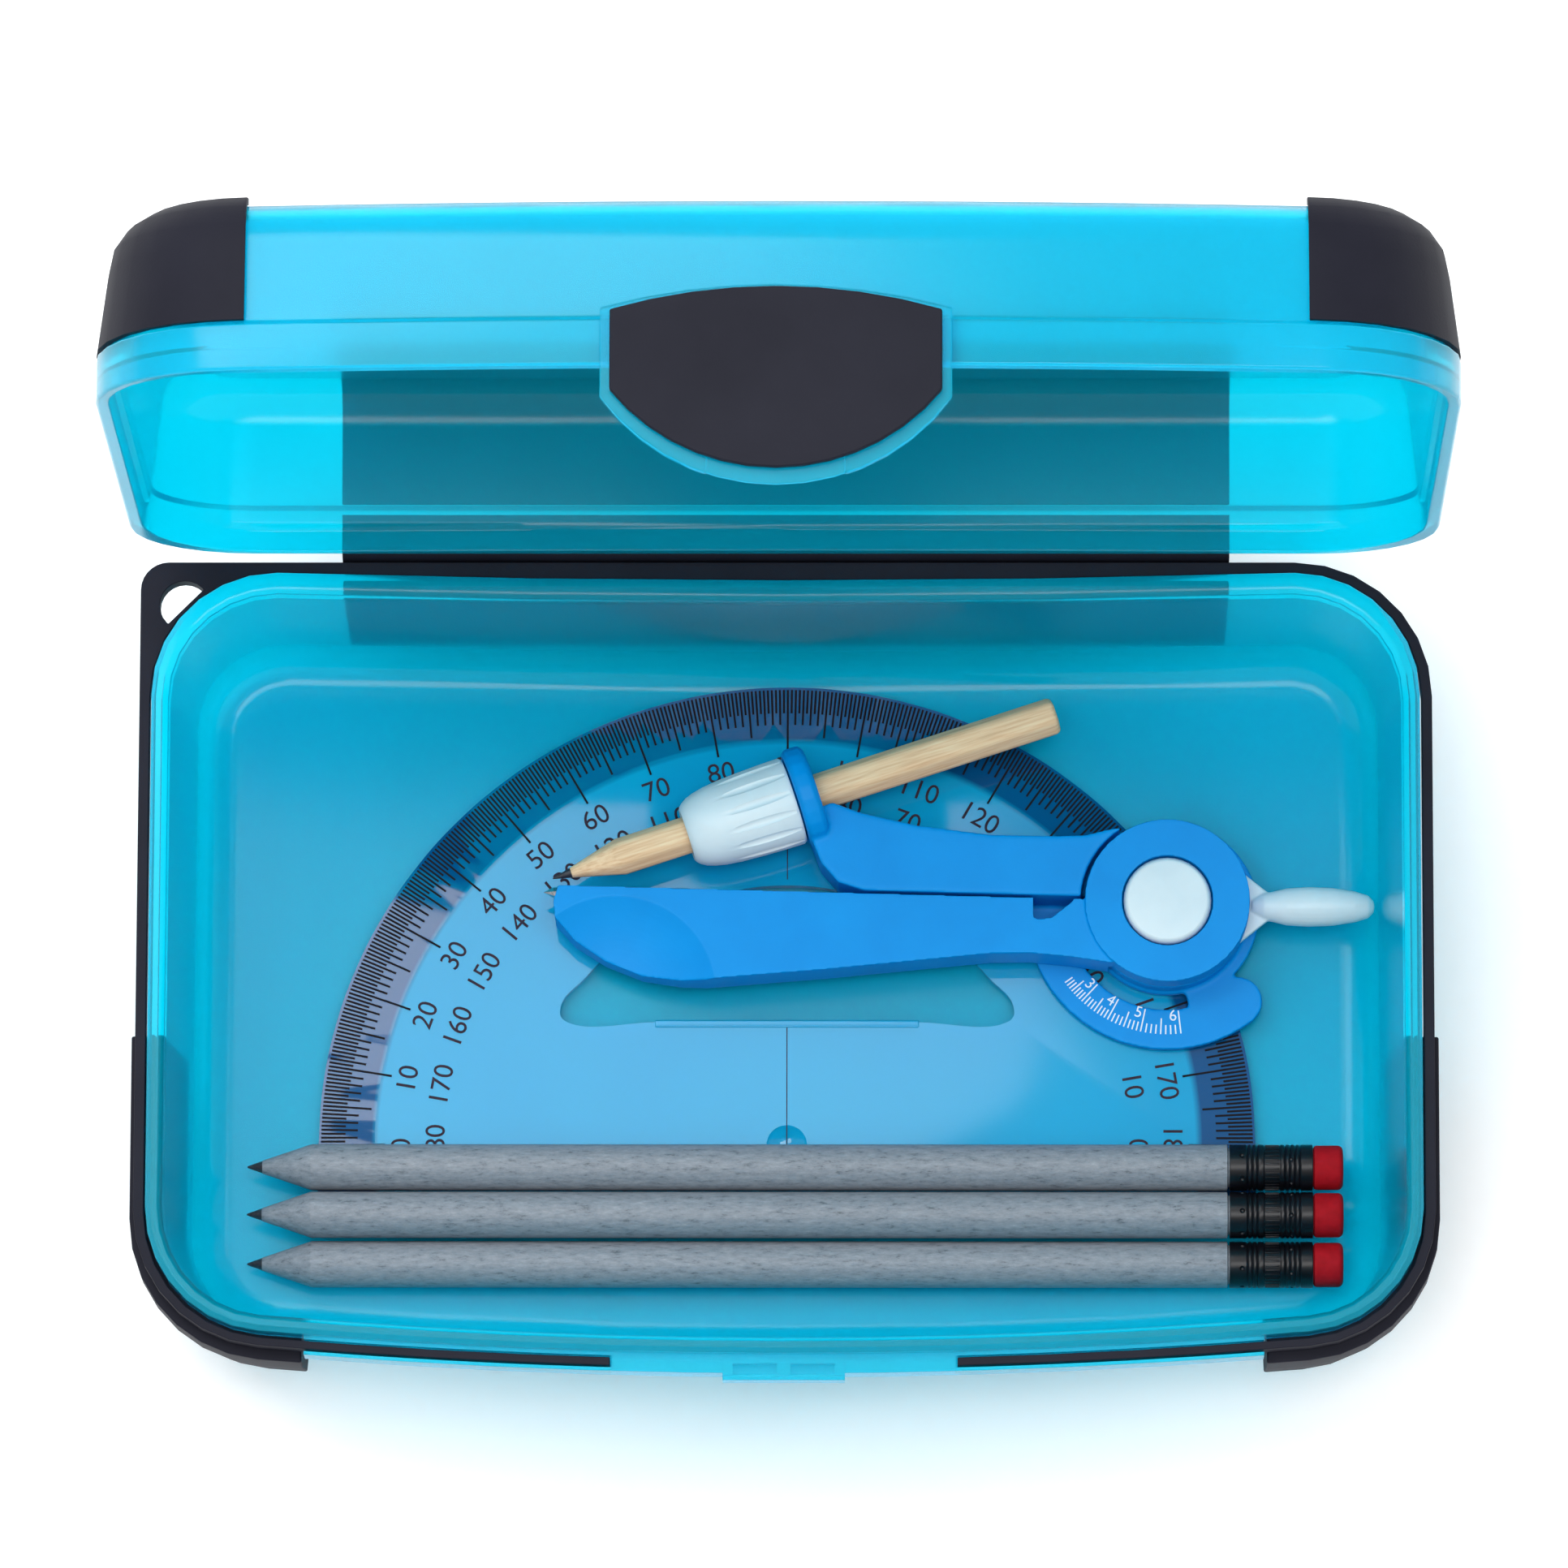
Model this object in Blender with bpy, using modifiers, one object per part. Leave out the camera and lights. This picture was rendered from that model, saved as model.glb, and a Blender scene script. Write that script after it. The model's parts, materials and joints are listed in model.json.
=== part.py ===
"""Drafting instrument case with its protractor, compass and three pencils.

The lid stands open at a right angle. +X runs to the right along the front, +Y to the back
and +Z up. The origin is the middle of the case's underside. Lengths are in metres.
"""

import math

import bmesh
import bpy
from mathutils import Matrix, Vector

mm = 0.001

# ---- Driving dimensions ----

# Case outline at its widest, on the rim flange. The case is as wide as its pencils need.
pencil_length = 177.7 * mm
pencil_end_room = 15.15 * mm
case_depth = 132.2 * mm
back_y = 66.0 * mm
front_radius = 990.0 * mm
corner_radius = 22.0 * mm
hang_corner_radius = 4.5 * mm
back_bow = 1.245 * mm

# Base tub.
flange_top_z = 40.0 * mm
bead_rise = 2.0 * mm
bead_round = 0.8 * mm
flange_height = 3.5 * mm
wall = 1.8 * mm
floor_top_z = 2.4 * mm
floor_corner_radius = 8.0 * mm
fillet_height = 6.6 * mm
front_lip_half = 76.5 * mm
strip_end_x = 27.7 * mm
strip_bottom_gap = 1.0 * mm
hang_hole_radius = 4.0 * mm
hang_hole_inset = 7.1 * mm
hang_hole_flat = 0.3 * mm
catch_width = 19.5 * mm
catch_height = 3.2 * mm
catch_proud = 1.1 * mm
catch_pocket_width = 7.0 * mm
catch_pocket_span = 9.2 * mm
catch_pocket_depth = 1.8 * mm

# Each outline is set in from the flange by so much at the sides, the back and the front.
bead_outer = (2.0 * mm, 2.0 * mm, 3.1 * mm)
bead_inner = (4.7 * mm, 5.4 * mm, 5.6 * mm)
wall_foot = (7.9 * mm, 7.3 * mm, 8.4 * mm)
floor_edge = (14.0 * mm, 12.9 * mm, 14.6 * mm)
strip_outer = (0.0, 0.0, 0.9 * mm)
strip_inner = (1.7 * mm, 1.7 * mm, 2.2 * mm)
bumper_proud = 0.8 * mm
bumper_bottom_z = 12.0 * mm
bumper_front_x = 77.0 * mm
bumper_side_y = -11.0 * mm

# Lid, in its closed place: z counts up from its rim.
lid_overhang = 0.6 * mm
lid_height = 28.0 * mm
lid_back_radius = 19.0 * mm
lid_front_radius = 25.0 * mm
band_height = 7.0 * mm
band_proud = 1.4 * mm
rim_recess_depth = 3.6 * mm
rim_fit = 0.4 * mm
lid_draft = 1.6 * mm
lid_edge_radius = 8.0 * mm
overmould = 1.1 * mm
lid_cap_x = 80.7 * mm
lid_cap_length = 38.0 * mm

# Hinge.
hinge_half_width = 71.5 * mm
hinge_setback = 1.0 * mm
web_thickness = 0.7 * mm
web_bend = 1.5 * mm
web_lap = 5.0 * mm
panel_thickness = 1.1 * mm
base_panel_bottom_z = 7.0 * mm
lid_panel_reach = 34.0 * mm

# Latch tab: z counts from the lid's rim.
tab_width = 53.2 * mm
tab_top_z = 12.0 * mm
tab_shoulder_z = -5.5 * mm
tab_bottom_z = -19.1 * mm
tab_thickness = 1.8 * mm
tab_axis_z = 7.0 * mm
tab_bottom_radius = 32.8 * mm
grip_border = 1.5 * mm
grip_bottom_border = 2.5 * mm
grip_thickness = 1.3 * mm
grip_top_rise = 3.6 * mm
tab_window_height = 7.0 * mm

# Protractor.
protractor_radius = 76.2 * mm
protractor_y = -23.2 * mm
protractor_thickness = 2.0 * mm
protractor_bar = 12.0 * mm
window_radius = 43.0 * mm
window_base = 20.3 * mm
window_corner = 1.6 * mm
window_notch_half = 21.5 * mm
window_notch_depth = 1.3 * mm
centre_hole_radius = 3.3 * mm

# Graphite pencils.
pencil_radius = 3.75 * mm
pencil_shift = 1.35 * mm
pencil_gap = 0.3 * mm
pencil_first_y = -27.6 * mm
core_radius = 1.0 * mm
core_bare = 2.5 * mm
cone_length = 8.0 * mm
ferrule_length = 13.5 * mm
ferrule_wall = 0.3 * mm
eraser_bare = 4.9 * mm
eraser_set_in = 0.15 * mm

# Compass.
head_x = 61.8 * mm
head_y = 15.1 * mm
head_radius = 13.4 * mm
lower_disc_radius = 13.2 * mm
lower_disc_thickness = 4.6 * mm
hub_flange_radius = 12.4 * mm
hub_flange_thickness = 1.6 * mm
upper_disc_thickness = 4.8 * mm
hub_radius = 4.6 * mm
cap_radius = 7.1 * mm
cap_thickness = 2.4 * mm
cap_proud = 0.4 * mm
cap_round = 0.5 * mm
cap_seat_gap = 0.1 * mm
leg_gap_slope = 0.027
leg_gap_offset = 0.8 * mm
leg_gap_reach = -23.2 * mm
needle_leg_lift = 2.0 * mm
pencil_leg_lift = 0.9 * mm
leg_top_drop = 0.6 * mm
head_clearance = 0.7 * mm
scale_outer_radius = 22.8 * mm
scale_inner_radius = 14.7 * mm
scale_slot_width = 1.5 * mm
scale_thickness = 1.6 * mm
needle_offset = 0.6 * mm
needle_radius = 0.9 * mm
needle_reach = 101.4 * mm
needle_length = 24.0 * mm
grip_length = 18.0 * mm
grip_radius = 3.25 * mm
grip_neck_radius = 2.5 * mm
grip_start = 15.8 * mm

# Clamp on the pencil leg and the wood pencil that it holds.
wood_tip_back = 99.9 * mm
wood_tip_offset = 4.1 * mm
wood_slope = math.radians(18.4)
wood_length = 86.3 * mm
wood_radius = 3.3 * mm
wood_cone = 12.7 * mm
wood_core_radius = 1.0 * mm
wood_core_bare = 3.2 * mm
clamp_ring_radius = 8.3 * mm
clamp_ring_thickness = 3.6 * mm
clamp_ring_at = 41.6 * mm
spigot_radius = 5.0 * mm
spigot_length = 15.0 * mm
nut_length = 18.3 * mm
nut_radius = 7.3 * mm
nut_nose_radius = 4.9 * mm

# Clearances.
gap = 0.3 * mm
leg_side_gap = 0.25 * mm

# ---- Derived levels ----

case_width = pencil_length + 2 * pencil_end_room
pencil_tip_x = pencil_shift - pencil_length / 2
pencil_pitch = 2 * pencil_radius + pencil_gap
eraser_radius = pencil_radius - eraser_set_in
half_width = case_width / 2
back_bow_radius = (half_width - corner_radius) ** 2 / (2 * back_bow)
front_y = back_y - case_depth
bead_top_z = flange_top_z + bead_rise
lid_width = case_width + 2 * lid_overhang
rim_z = flange_top_z + gap
hinge_y = back_y + hinge_setback
hinge_z = rim_z
protractor_z = floor_top_z + gap
on_protractor_z = protractor_z + protractor_thickness + gap
lower_disc_z = on_protractor_z
hub_flange_z = lower_disc_z + lower_disc_thickness + gap
upper_disc_z = hub_flange_z + hub_flange_thickness + gap
head_top_z = upper_disc_z + upper_disc_thickness
leg_top_z = head_top_z - leg_top_drop
needle_leg_z = on_protractor_z + needle_leg_lift
needle_z = (needle_leg_z + leg_top_z) / 2
wood_z = on_protractor_z + clamp_ring_radius

corner_steps = 7
front_steps = 12
back_steps = 4
round_steps = 24


# ---- Scene ----

def clear_scene():
    for obj in list(bpy.data.objects):
        bpy.data.objects.remove(obj, do_unlink=True)


def new_collection(name):
    made = bpy.data.collections.new(name)
    bpy.context.scene.collection.children.link(made)
    return made


clear_scene()
case_parts = new_collection("drafting_instrument_case")
cutters = new_collection("cutters")
cutters.hide_render = True


def linear(channel):
    if channel <= 0.04045:
        return channel / 12.92
    return ((channel + 0.055) / 1.055) ** 2.4


def new_material(name, colour, roughness, metallic=0.0, alpha=1.0):
    made = bpy.data.materials.new(name)
    made.use_nodes = True
    shader = made.node_tree.nodes["Principled BSDF"]
    rgb = [linear(int(colour[i:i + 2], 16) / 255) for i in (0, 2, 4)]
    shader.inputs["Base Color"].default_value = (*rgb, 1.0)
    shader.inputs["Roughness"].default_value = roughness
    shader.inputs["Metallic"].default_value = metallic
    shader.inputs["Alpha"].default_value = alpha
    made.diffuse_color = (*rgb, alpha)
    return made


finishes = {
    "aqua": ("00B9D9", 0.25, 0.0, 0.75),
    "black": ("302E38", 0.55, 0.0, 1.0),
    "blue": ("0596EB", 0.4, 0.0, 1.0),
    "white": ("E6F0F2", 0.45, 0.0, 1.0),
    "clear_blue": ("2C9BE8", 0.15, 0.0, 0.6),
    "newsprint": ("9FB4BA", 0.6, 0.0, 1.0),
    "crimped_black": ("1C1B20", 0.3, 0.8, 1.0),
    "red_rubber": ("C4202A", 0.7, 0.0, 1.0),
    "bare_wood": ("D9B682", 0.6, 0.0, 1.0),
    "graphite": ("3A3A45", 0.35, 0.3, 1.0),
    "steel": ("C0C4C8", 0.25, 1.0, 1.0),
}


def finish_part(obj, finish):
    """Gives the part a material of its own and shades its round faces smooth."""
    obj.data.materials.clear()
    obj.data.materials.append(new_material(obj.name, *finishes[finish]))
    if obj.type == "MESH":
        obj.data.shade_smooth()
        obj.data.set_sharp_from_angle(angle=math.radians(35))
    return obj


def mesh_object(name, bm, collection):
    bmesh.ops.recalc_face_normals(bm, faces=bm.faces)
    mesh = bpy.data.meshes.new(name)
    bm.to_mesh(mesh)
    bm.free()
    obj = bpy.data.objects.new(name, mesh)
    collection.objects.link(obj)
    if collection == cutters:
        obj.hide_render = True
        obj.display_type = "WIRE"
    return obj


def loft(name, rings, collection, looped=False):
    """A closed solid through rings of equally many points, capped at its ends or looped round."""
    bm = bmesh.new()
    rows = [[bm.verts.new(point) for point in ring] for ring in rings]
    pairs = list(zip(rows, rows[1:]))
    if looped:
        pairs.append((rows[-1], rows[0]))
    for low, high in pairs:
        for i in range(len(low)):
            j = (i + 1) % len(low)
            bm.faces.new((low[i], low[j], high[j], high[i]))
    if not looped:
        bm.faces.new(rows[0][::-1])
        bm.faces.new(rows[-1])
    return mesh_object(name, bm, collection)


def prism(name, outline, low, high, collection, holes=()):
    """A flat outline and its holes, extruded from low to high along Z."""
    curve = bpy.data.curves.new(name, "CURVE")
    curve.dimensions = "2D"
    curve.fill_mode = "BOTH"
    curve.extrude = (high - low) / 2
    for points in (outline, *holes):
        spline = curve.splines.new("POLY")
        spline.points.add(len(points) - 1)
        for point, (x, y) in zip(spline.points, points):
            point.co = (x, y, 0, 1)
        spline.use_cyclic_u = True
    holder = bpy.data.objects.new(name + "_curve", curve)
    bpy.context.scene.collection.objects.link(holder)
    graph = bpy.context.evaluated_depsgraph_get()
    mesh = bpy.data.meshes.new_from_object(holder.evaluated_get(graph))
    bpy.data.objects.remove(holder)
    bpy.data.curves.remove(curve)
    bm = bmesh.new()
    bm.from_mesh(mesh)
    bpy.data.meshes.remove(mesh)
    bmesh.ops.remove_doubles(bm, verts=bm.verts, dist=0.001 * mm)
    bmesh.ops.translate(bm, verts=bm.verts, vec=(0, 0, (low + high) / 2))
    return mesh_object(name, bm, collection)


def box(name, low, high, collection):
    bm = bmesh.new()
    bmesh.ops.create_cube(bm, size=1)
    size = [b - a for a, b in zip(low, high)]
    middle = [(a + b) / 2 for a, b in zip(low, high)]
    bmesh.ops.scale(bm, verts=bm.verts, vec=size)
    bmesh.ops.translate(bm, verts=bm.verts, vec=middle)
    return mesh_object(name, bm, collection)


def disc(name, centre, radius, low, high, collection, steps=48):
    bm = bmesh.new()
    place = Matrix.Translation((*centre, (low + high) / 2))
    bmesh.ops.create_cone(
        bm, cap_ends=True, segments=steps, radius1=radius, radius2=radius, depth=high - low, matrix=place
    )
    return mesh_object(name, bm, collection)


def turned(name, profile, collection, closed=False, steps=round_steps):
    """Screws a profile of (distance along, radius) points round the object's X axis."""
    bm = bmesh.new()
    verts = [bm.verts.new((along, 0, radius)) for along, radius in profile]
    for first, second in zip(verts, verts[1:]):
        bm.edges.new((first, second))
    if closed:
        bm.edges.new((verts[-1], verts[0]))
    mesh = bpy.data.meshes.new(name)
    bm.to_mesh(mesh)
    bm.free()
    obj = bpy.data.objects.new(name, mesh)
    collection.objects.link(obj)
    screw = obj.modifiers.new("turn", "SCREW")
    screw.axis = "X"
    screw.steps = steps
    screw.render_steps = steps
    screw.use_merge_vertices = True
    screw.merge_threshold = 0.00001
    screw.use_normal_flip = True
    if collection == cutters:
        obj.hide_render = True
        obj.display_type = "WIRE"
    return obj


def combine(target, other, operation):
    modifier = target.modifiers.new(operation.lower() + "_" + other.name, "BOOLEAN")
    modifier.operation = operation
    modifier.object = other
    return target


def cut(target, *others):
    for other in others:
        combine(target, other, "DIFFERENCE")
    return target


def join(target, *others):
    for other in others:
        combine(target, other, "UNION")
    return target


def pivot(name, place, turn=0.0):
    """An empty on a joint's axis, turned about X."""
    empty = bpy.data.objects.new(name, None)
    empty.empty_display_size = 10 * mm
    empty.location = place
    empty.rotation_euler = (turn, 0, 0)
    case_parts.objects.link(empty)
    return empty


def hang_on(parent, *children):
    """Parents pieces whose meshes are already in the parent's own frame."""
    for child in children:
        child.parent = parent


# ---- Case outline ----

def arc(centre, radius, start, end, steps):
    turn = (end - start) / steps
    return [
        (centre[0] + radius * math.cos(start + turn * i), centre[1] + radius * math.sin(start + turn * i))
        for i in range(steps + 1)
    ]


def corner(centre, radius, start, end):
    return arc(centre, radius, start, end, corner_steps)


def case_outline(inset, radii, width=case_width, bow=False):
    """Counterclockwise outline with a bulging front.

    The radii run front right, back right, back left, front left.
    """
    side, back, front = inset
    half = width / 2 - side
    top = back_y - back
    arc_y = front_y + front_radius
    big = front_radius - front
    points = []
    fr, br, bl, fl = radii
    right = Vector((half - fr, arc_y - math.sqrt((big - fr) ** 2 - (half - fr) ** 2)))
    left = Vector((fl - half, arc_y - math.sqrt((big - fl) ** 2 - (half - fl) ** 2)))
    lean_right = math.atan2(right.y - arc_y, right.x)
    lean_left = math.atan2(left.y - arc_y, left.x)
    points += corner(right, fr, lean_right, 0)
    points += corner((half - br, top - br), br, 0, math.pi / 2)
    across = 2 * half - br - bl
    for i in range(1, back_steps):
        x = half - br - across * i / back_steps
        reach = x - (bl - br) / 2
        sag = (across ** 2 / 4 - reach ** 2) / (2 * back_bow_radius) if bow else 0
        points.append((x, top - sag))
    points += corner((bl - half, top - bl), bl, math.pi / 2, math.pi)
    points += corner(left, fl, math.pi, 2 * math.pi + lean_left)
    spread = arc((0, arc_y), big, lean_left, lean_right, front_steps)
    points += spread[1:-1]
    return points


def level(points, z):
    return [(x, y, z) for x, y in points]


def even(radius):
    return (radius,) * 4


def even_inset(value):
    return (value,) * 3


def between(first, second, share):
    return tuple(a + (b - a) * share for a, b in zip(first, second))


def widened(inset, by):
    return tuple(value - by for value in inset)


def tub_ring(z, inset, radius):
    return level(case_outline(inset, even(radius), bow=True), z)


def front_band(name, low_x, high_x, inner, outer, low, high, collection):
    """A bar that follows the bulging front between two depths behind the flange's edge."""
    steps = 10
    arc_y = front_y + front_radius
    rings = []
    for i in range(steps + 1):
        x = low_x + (high_x - low_x) * i / steps
        near = arc_y - math.sqrt((front_radius - outer) ** 2 - x ** 2)
        far = arc_y - math.sqrt((front_radius - inner) ** 2 - x ** 2)
        rings.append([(x, near, low), (x, far, low), (x, far, high), (x, near, high)])
    return loft(name, rings, collection)


# ---- Base ----

bead_radius = corner_radius - bead_outer[0]
rim_radius = corner_radius - bead_inner[0]
foot_radius = corner_radius - wall_foot[0]
foot_z = floor_top_z + fillet_height
ledge_z = flange_top_z - flange_height


def inner_wall(z):
    """Inset of the tub's inner wall at this height, above its fillet."""
    share = (bead_top_z - z) / (bead_top_z - foot_z)
    return between(bead_inner, wall_foot, share)


def outer_wall(z):
    return widened(inner_wall(z), wall)


def outer_radius(z):
    share = (bead_top_z - z) / (bead_top_z - foot_z)
    return rim_radius + (foot_radius - rim_radius) * share + wall


def make_base_tub():
    fillet = [i / 4 for i in range(5)]
    rings = [tub_ring(0, floor_edge, floor_corner_radius)]
    for share in fillet[1:]:
        out = math.sin(share * math.pi / 2)
        rise = (1 - math.cos(share * math.pi / 2)) * foot_z
        inset = between(floor_edge, outer_wall(foot_z), out)
        radius = floor_corner_radius + (outer_radius(foot_z) - floor_corner_radius) * out
        rings.append(tub_ring(rise, inset, radius))
    rings += [
        tub_ring(ledge_z, outer_wall(ledge_z), outer_radius(ledge_z)),
        tub_ring(ledge_z, bead_outer, bead_radius),
        tub_ring(bead_top_z - bead_round, bead_outer, bead_radius),
        tub_ring(bead_top_z, between(bead_outer, bead_inner, 0.3), bead_radius - bead_round),
        tub_ring(bead_top_z, between(bead_outer, bead_inner, 0.7), rim_radius + bead_round),
        tub_ring(bead_top_z - bead_round, bead_inner, rim_radius),
    ]
    for share in reversed(fillet):
        out = math.sin(share * math.pi / 2)
        rise = (1 - math.cos(share * math.pi / 2)) * fillet_height
        inset = between(floor_edge, wall_foot, out)
        radius = floor_corner_radius + (foot_radius - floor_corner_radius) * out
        rings.append(tub_ring(floor_top_z + rise, inset, radius))
    tub = loft("base_tub", rings, case_parts)
    lip = front_band(
        "front_lip", -front_lip_half, front_lip_half, bead_outer[2] + bead_round, 0.0,
        ledge_z - strip_bottom_gap, flange_top_z - 0.2 * mm, cutters,
    )
    catch = box(
        "catch_block",
        (-catch_width / 2, front_y - catch_proud, flange_top_z - catch_height),
        (catch_width / 2, front_y + bead_outer[2] + 0.3 * mm, flange_top_z - 0.1 * mm),
        cutters,
    )
    join(tub, lip, catch)
    groove_outer = strip_outer[2] - gap
    groove_inner = strip_inner[2] + gap
    for side in (-1, 1):
        ends = sorted((side * (strip_end_x - gap), side * (front_lip_half + 4 * mm)))
        groove = front_band(
            "strip_groove", ends[0], ends[1], groove_inner, groove_outer,
            ledge_z - gap, bead_top_z + 5 * mm, cutters,
        )
        middle = side * catch_pocket_span / 2
        pocket_y = front_y - catch_proud + 0.8 * mm
        pocket = box(
            "catch_pocket",
            (middle - catch_pocket_width / 2, pocket_y, flange_top_z - catch_pocket_depth),
            (middle + catch_pocket_width / 2, pocket_y + 1.9 * mm, bead_top_z),
            cutters,
        )
        cut(tub, groove, pocket)
    return finish_part(tub, "aqua")


def make_rim_frame():
    radii = (corner_radius, corner_radius, hang_corner_radius, corner_radius)
    outline = case_outline(strip_outer, radii)
    frame = loft("rim_frame", [level(outline, ledge_z), level(outline, flange_top_z)], case_parts)
    clear = widened(bead_outer, gap)
    clear = (clear[0], clear[1], strip_inner[2])
    hollow = loft(
        "frame_hollow",
        [
            tub_ring(ledge_z - 5 * mm, clear, corner_radius - clear[0]),
            tub_ring(flange_top_z + 5 * mm, clear, corner_radius - clear[0]),
        ],
        cutters,
    )
    opening = box(
        "strip_gap",
        (-strip_end_x, front_y - 5 * mm, ledge_z - 5 * mm),
        (strip_end_x, front_y + 10 * mm, flange_top_z + 5 * mm),
        cutters,
    )
    lean = math.radians(135)
    place = (hang_hole_inset - half_width, back_y - hang_hole_inset)
    half_moon = arc(place, hang_hole_radius, lean - math.pi / 2, lean + math.pi / 2, 12)
    shift = Vector((math.cos(lean), math.sin(lean))) * -hang_hole_flat
    half_moon = [(half_moon[0][0] + shift.x, half_moon[0][1] + shift.y)] + half_moon
    half_moon.append((half_moon[-1][0] + shift.x, half_moon[-1][1] + shift.y))
    hole = prism("hang_hole", half_moon, ledge_z - 5 * mm, flange_top_z + 5 * mm, cutters)
    cut(frame, hollow, opening, hole)
    return finish_part(frame, "black")


def corner_part(name, rings, side, reach_x, reach_y, collection):
    """The stretch of a ring round one front corner."""
    part = loft(name, rings, collection, looped=True)
    ends = sorted((side * reach_x, side * (half_width + 20 * mm)))
    keep = box(
        name + "_keep",
        (ends[0], reach_y[0], -50 * mm),
        (ends[1], reach_y[1], 100 * mm),
        cutters,
    )
    return combine(part, keep, "INTERSECT")


def make_base_bumper(name, side):
    top = ledge_z - gap
    outer = even_inset(-bumper_proud)
    inner_top = widened(outer_wall(ledge_z), gap)
    inner_low = widened(outer_wall(bumper_bottom_z), gap)
    radius = corner_radius + bumper_proud
    rings = [
        tub_ring(bumper_bottom_z, between(inner_low, outer, 0.35), radius - 3 * mm),
        tub_ring(bumper_bottom_z + 4 * mm, between(inner_low, outer, 0.75), radius - 1 * mm),
        tub_ring(top - 6 * mm, outer, radius),
        tub_ring(top, outer, radius),
        tub_ring(top, inner_top, outer_radius(ledge_z) + gap),
        tub_ring(bumper_bottom_z, inner_low, outer_radius(bumper_bottom_z) + gap),
    ]
    reach = (front_y - 20 * mm, bumper_side_y)
    return finish_part(corner_part(name, rings, side, bumper_front_x, reach, case_parts), "black")


def side_profile(name, points, half, collection):
    """A profile of (y, z) points, drawn along X from -half to half."""
    ends = [[(x, y, z) for y, z in points] for x in (-half, half)]
    return loft(name, ends, collection)


def make_base_hinge_panel():
    top = ledge_z - gap
    low_y = back_y - outer_wall(base_panel_bottom_z)[1] + gap
    high_y = back_y - outer_wall(ledge_z)[1] + gap
    points = [
        (low_y, base_panel_bottom_z),
        (low_y + panel_thickness, base_panel_bottom_z),
        (high_y + panel_thickness, top),
        (high_y, top),
    ]
    return finish_part(side_profile("base_hinge_panel", points, hinge_half_width, case_parts), "black")


def make_hinge_web():
    near = back_y + gap
    under = hinge_z + hinge_setback - gap
    outer = web_bend + web_thickness
    centre = (near + outer, under - outer)
    points = [(near + web_thickness, ledge_z)]
    points += [(y, z) for y, z in arc(centre, web_bend, math.pi, math.pi / 2, 6)]
    points += [(centre[0] + web_lap, under - web_thickness), (centre[0] + web_lap, under)]
    points += [(y, z) for y, z in arc(centre, outer, math.pi / 2, math.pi, 6)]
    points.append((near, ledge_z))
    return finish_part(side_profile("hinge_web", points, hinge_half_width, case_parts), "black")


# ---- Lid, modelled closed about its hinge axis ----

lid_radii = (lid_front_radius, lid_back_radius, lid_back_radius, lid_front_radius)


def lid_ring(z, inset):
    """A ring of the closed lid, in the frame of its hinge axis."""
    radii = tuple(max(radius - inset, 3 * mm) for radius in lid_radii)
    points = case_outline(even_inset(inset), radii, width=lid_width)
    return [(x, y - hinge_y, z) for x, y in points]


def recess_ring(z):
    """A ring just outside the base's bead, which the lid's rim fits over."""
    points = case_outline(widened(bead_outer, rim_fit), even(bead_radius + rim_fit), bow=True)
    return [(x, y - hinge_y, z) for x, y in points]


def lid_skin(step):
    """Rings of the lid's outside above its band, moved outwards by step."""
    rings = []
    edge_z = lid_height - lid_edge_radius
    wall_inset = band_proud + lid_draft
    rings.append((band_height + 0.8 * mm, band_proud - step))
    for share in (0, 0.25, 0.5, 0.75, 1):
        angle = share * math.pi / 2
        radius = lid_edge_radius + step
        inset = wall_inset + lid_edge_radius - radius * math.cos(angle)
        rings.append((edge_z + radius * math.sin(angle), inset))
    return rings


def make_lid_shell():
    outside = [(0, 0.3 * mm), (0.5 * mm, 0), (band_height, 0)]
    outside += lid_skin(0)
    inside = [(z, inset) for z, inset in reversed(lid_skin(-wall))]
    inside[-1] = (rim_recess_depth + 0.8 * mm, inside[-1][1])
    rings = [lid_ring(z, inset) for z, inset in outside + inside]
    rings += [recess_ring(rim_recess_depth), recess_ring(0)]
    return finish_part(loft_lid(rings, len(outside)), "aqua")


def loft_lid(rings, turn):
    """The lid's outside and inside, capped at the top of each and joined round the rim."""
    bm = bmesh.new()
    rows = [[bm.verts.new(point) for point in ring] for ring in rings]
    for row, (low, high) in enumerate(zip(rows, rows[1:] + rows[:1])):
        if row == turn - 1:
            continue
        for i in range(len(low)):
            j = (i + 1) % len(low)
            bm.faces.new((low[i], low[j], high[j], high[i]))
    bm.faces.new(rows[turn - 1])
    bm.faces.new(rows[turn])
    return mesh_object("lid_shell", bm, case_parts)


def make_lid_cap(name, side):
    outer = lid_skin(gap + overmould)
    inner = lid_skin(gap)
    rings = [lid_ring(z, inset) for z, inset in outer + inner[::-1]]
    reach = (front_y - hinge_y - 20 * mm, front_y - hinge_y + lid_cap_length)
    return finish_part(corner_part(name, rings, side, lid_cap_x, reach, case_parts), "black")


def make_lid_hinge_panel():
    outer = [(back_y - inset - hinge_y, z) for z, inset in lid_skin(gap + panel_thickness)]
    inner = [(back_y - inset - hinge_y, z) for z, inset in lid_skin(gap)]
    far = outer[-1][0] - lid_panel_reach
    points = outer + [(far, outer[-1][1]), (far, inner[-1][1])] + inner[::-1]
    return finish_part(side_profile("lid_hinge_panel", points, hinge_half_width, case_parts), "black")


# ---- Latch, in the frame of its flex axis ----

tab_axis_y = front_y - gap - 0.1 * mm


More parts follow.
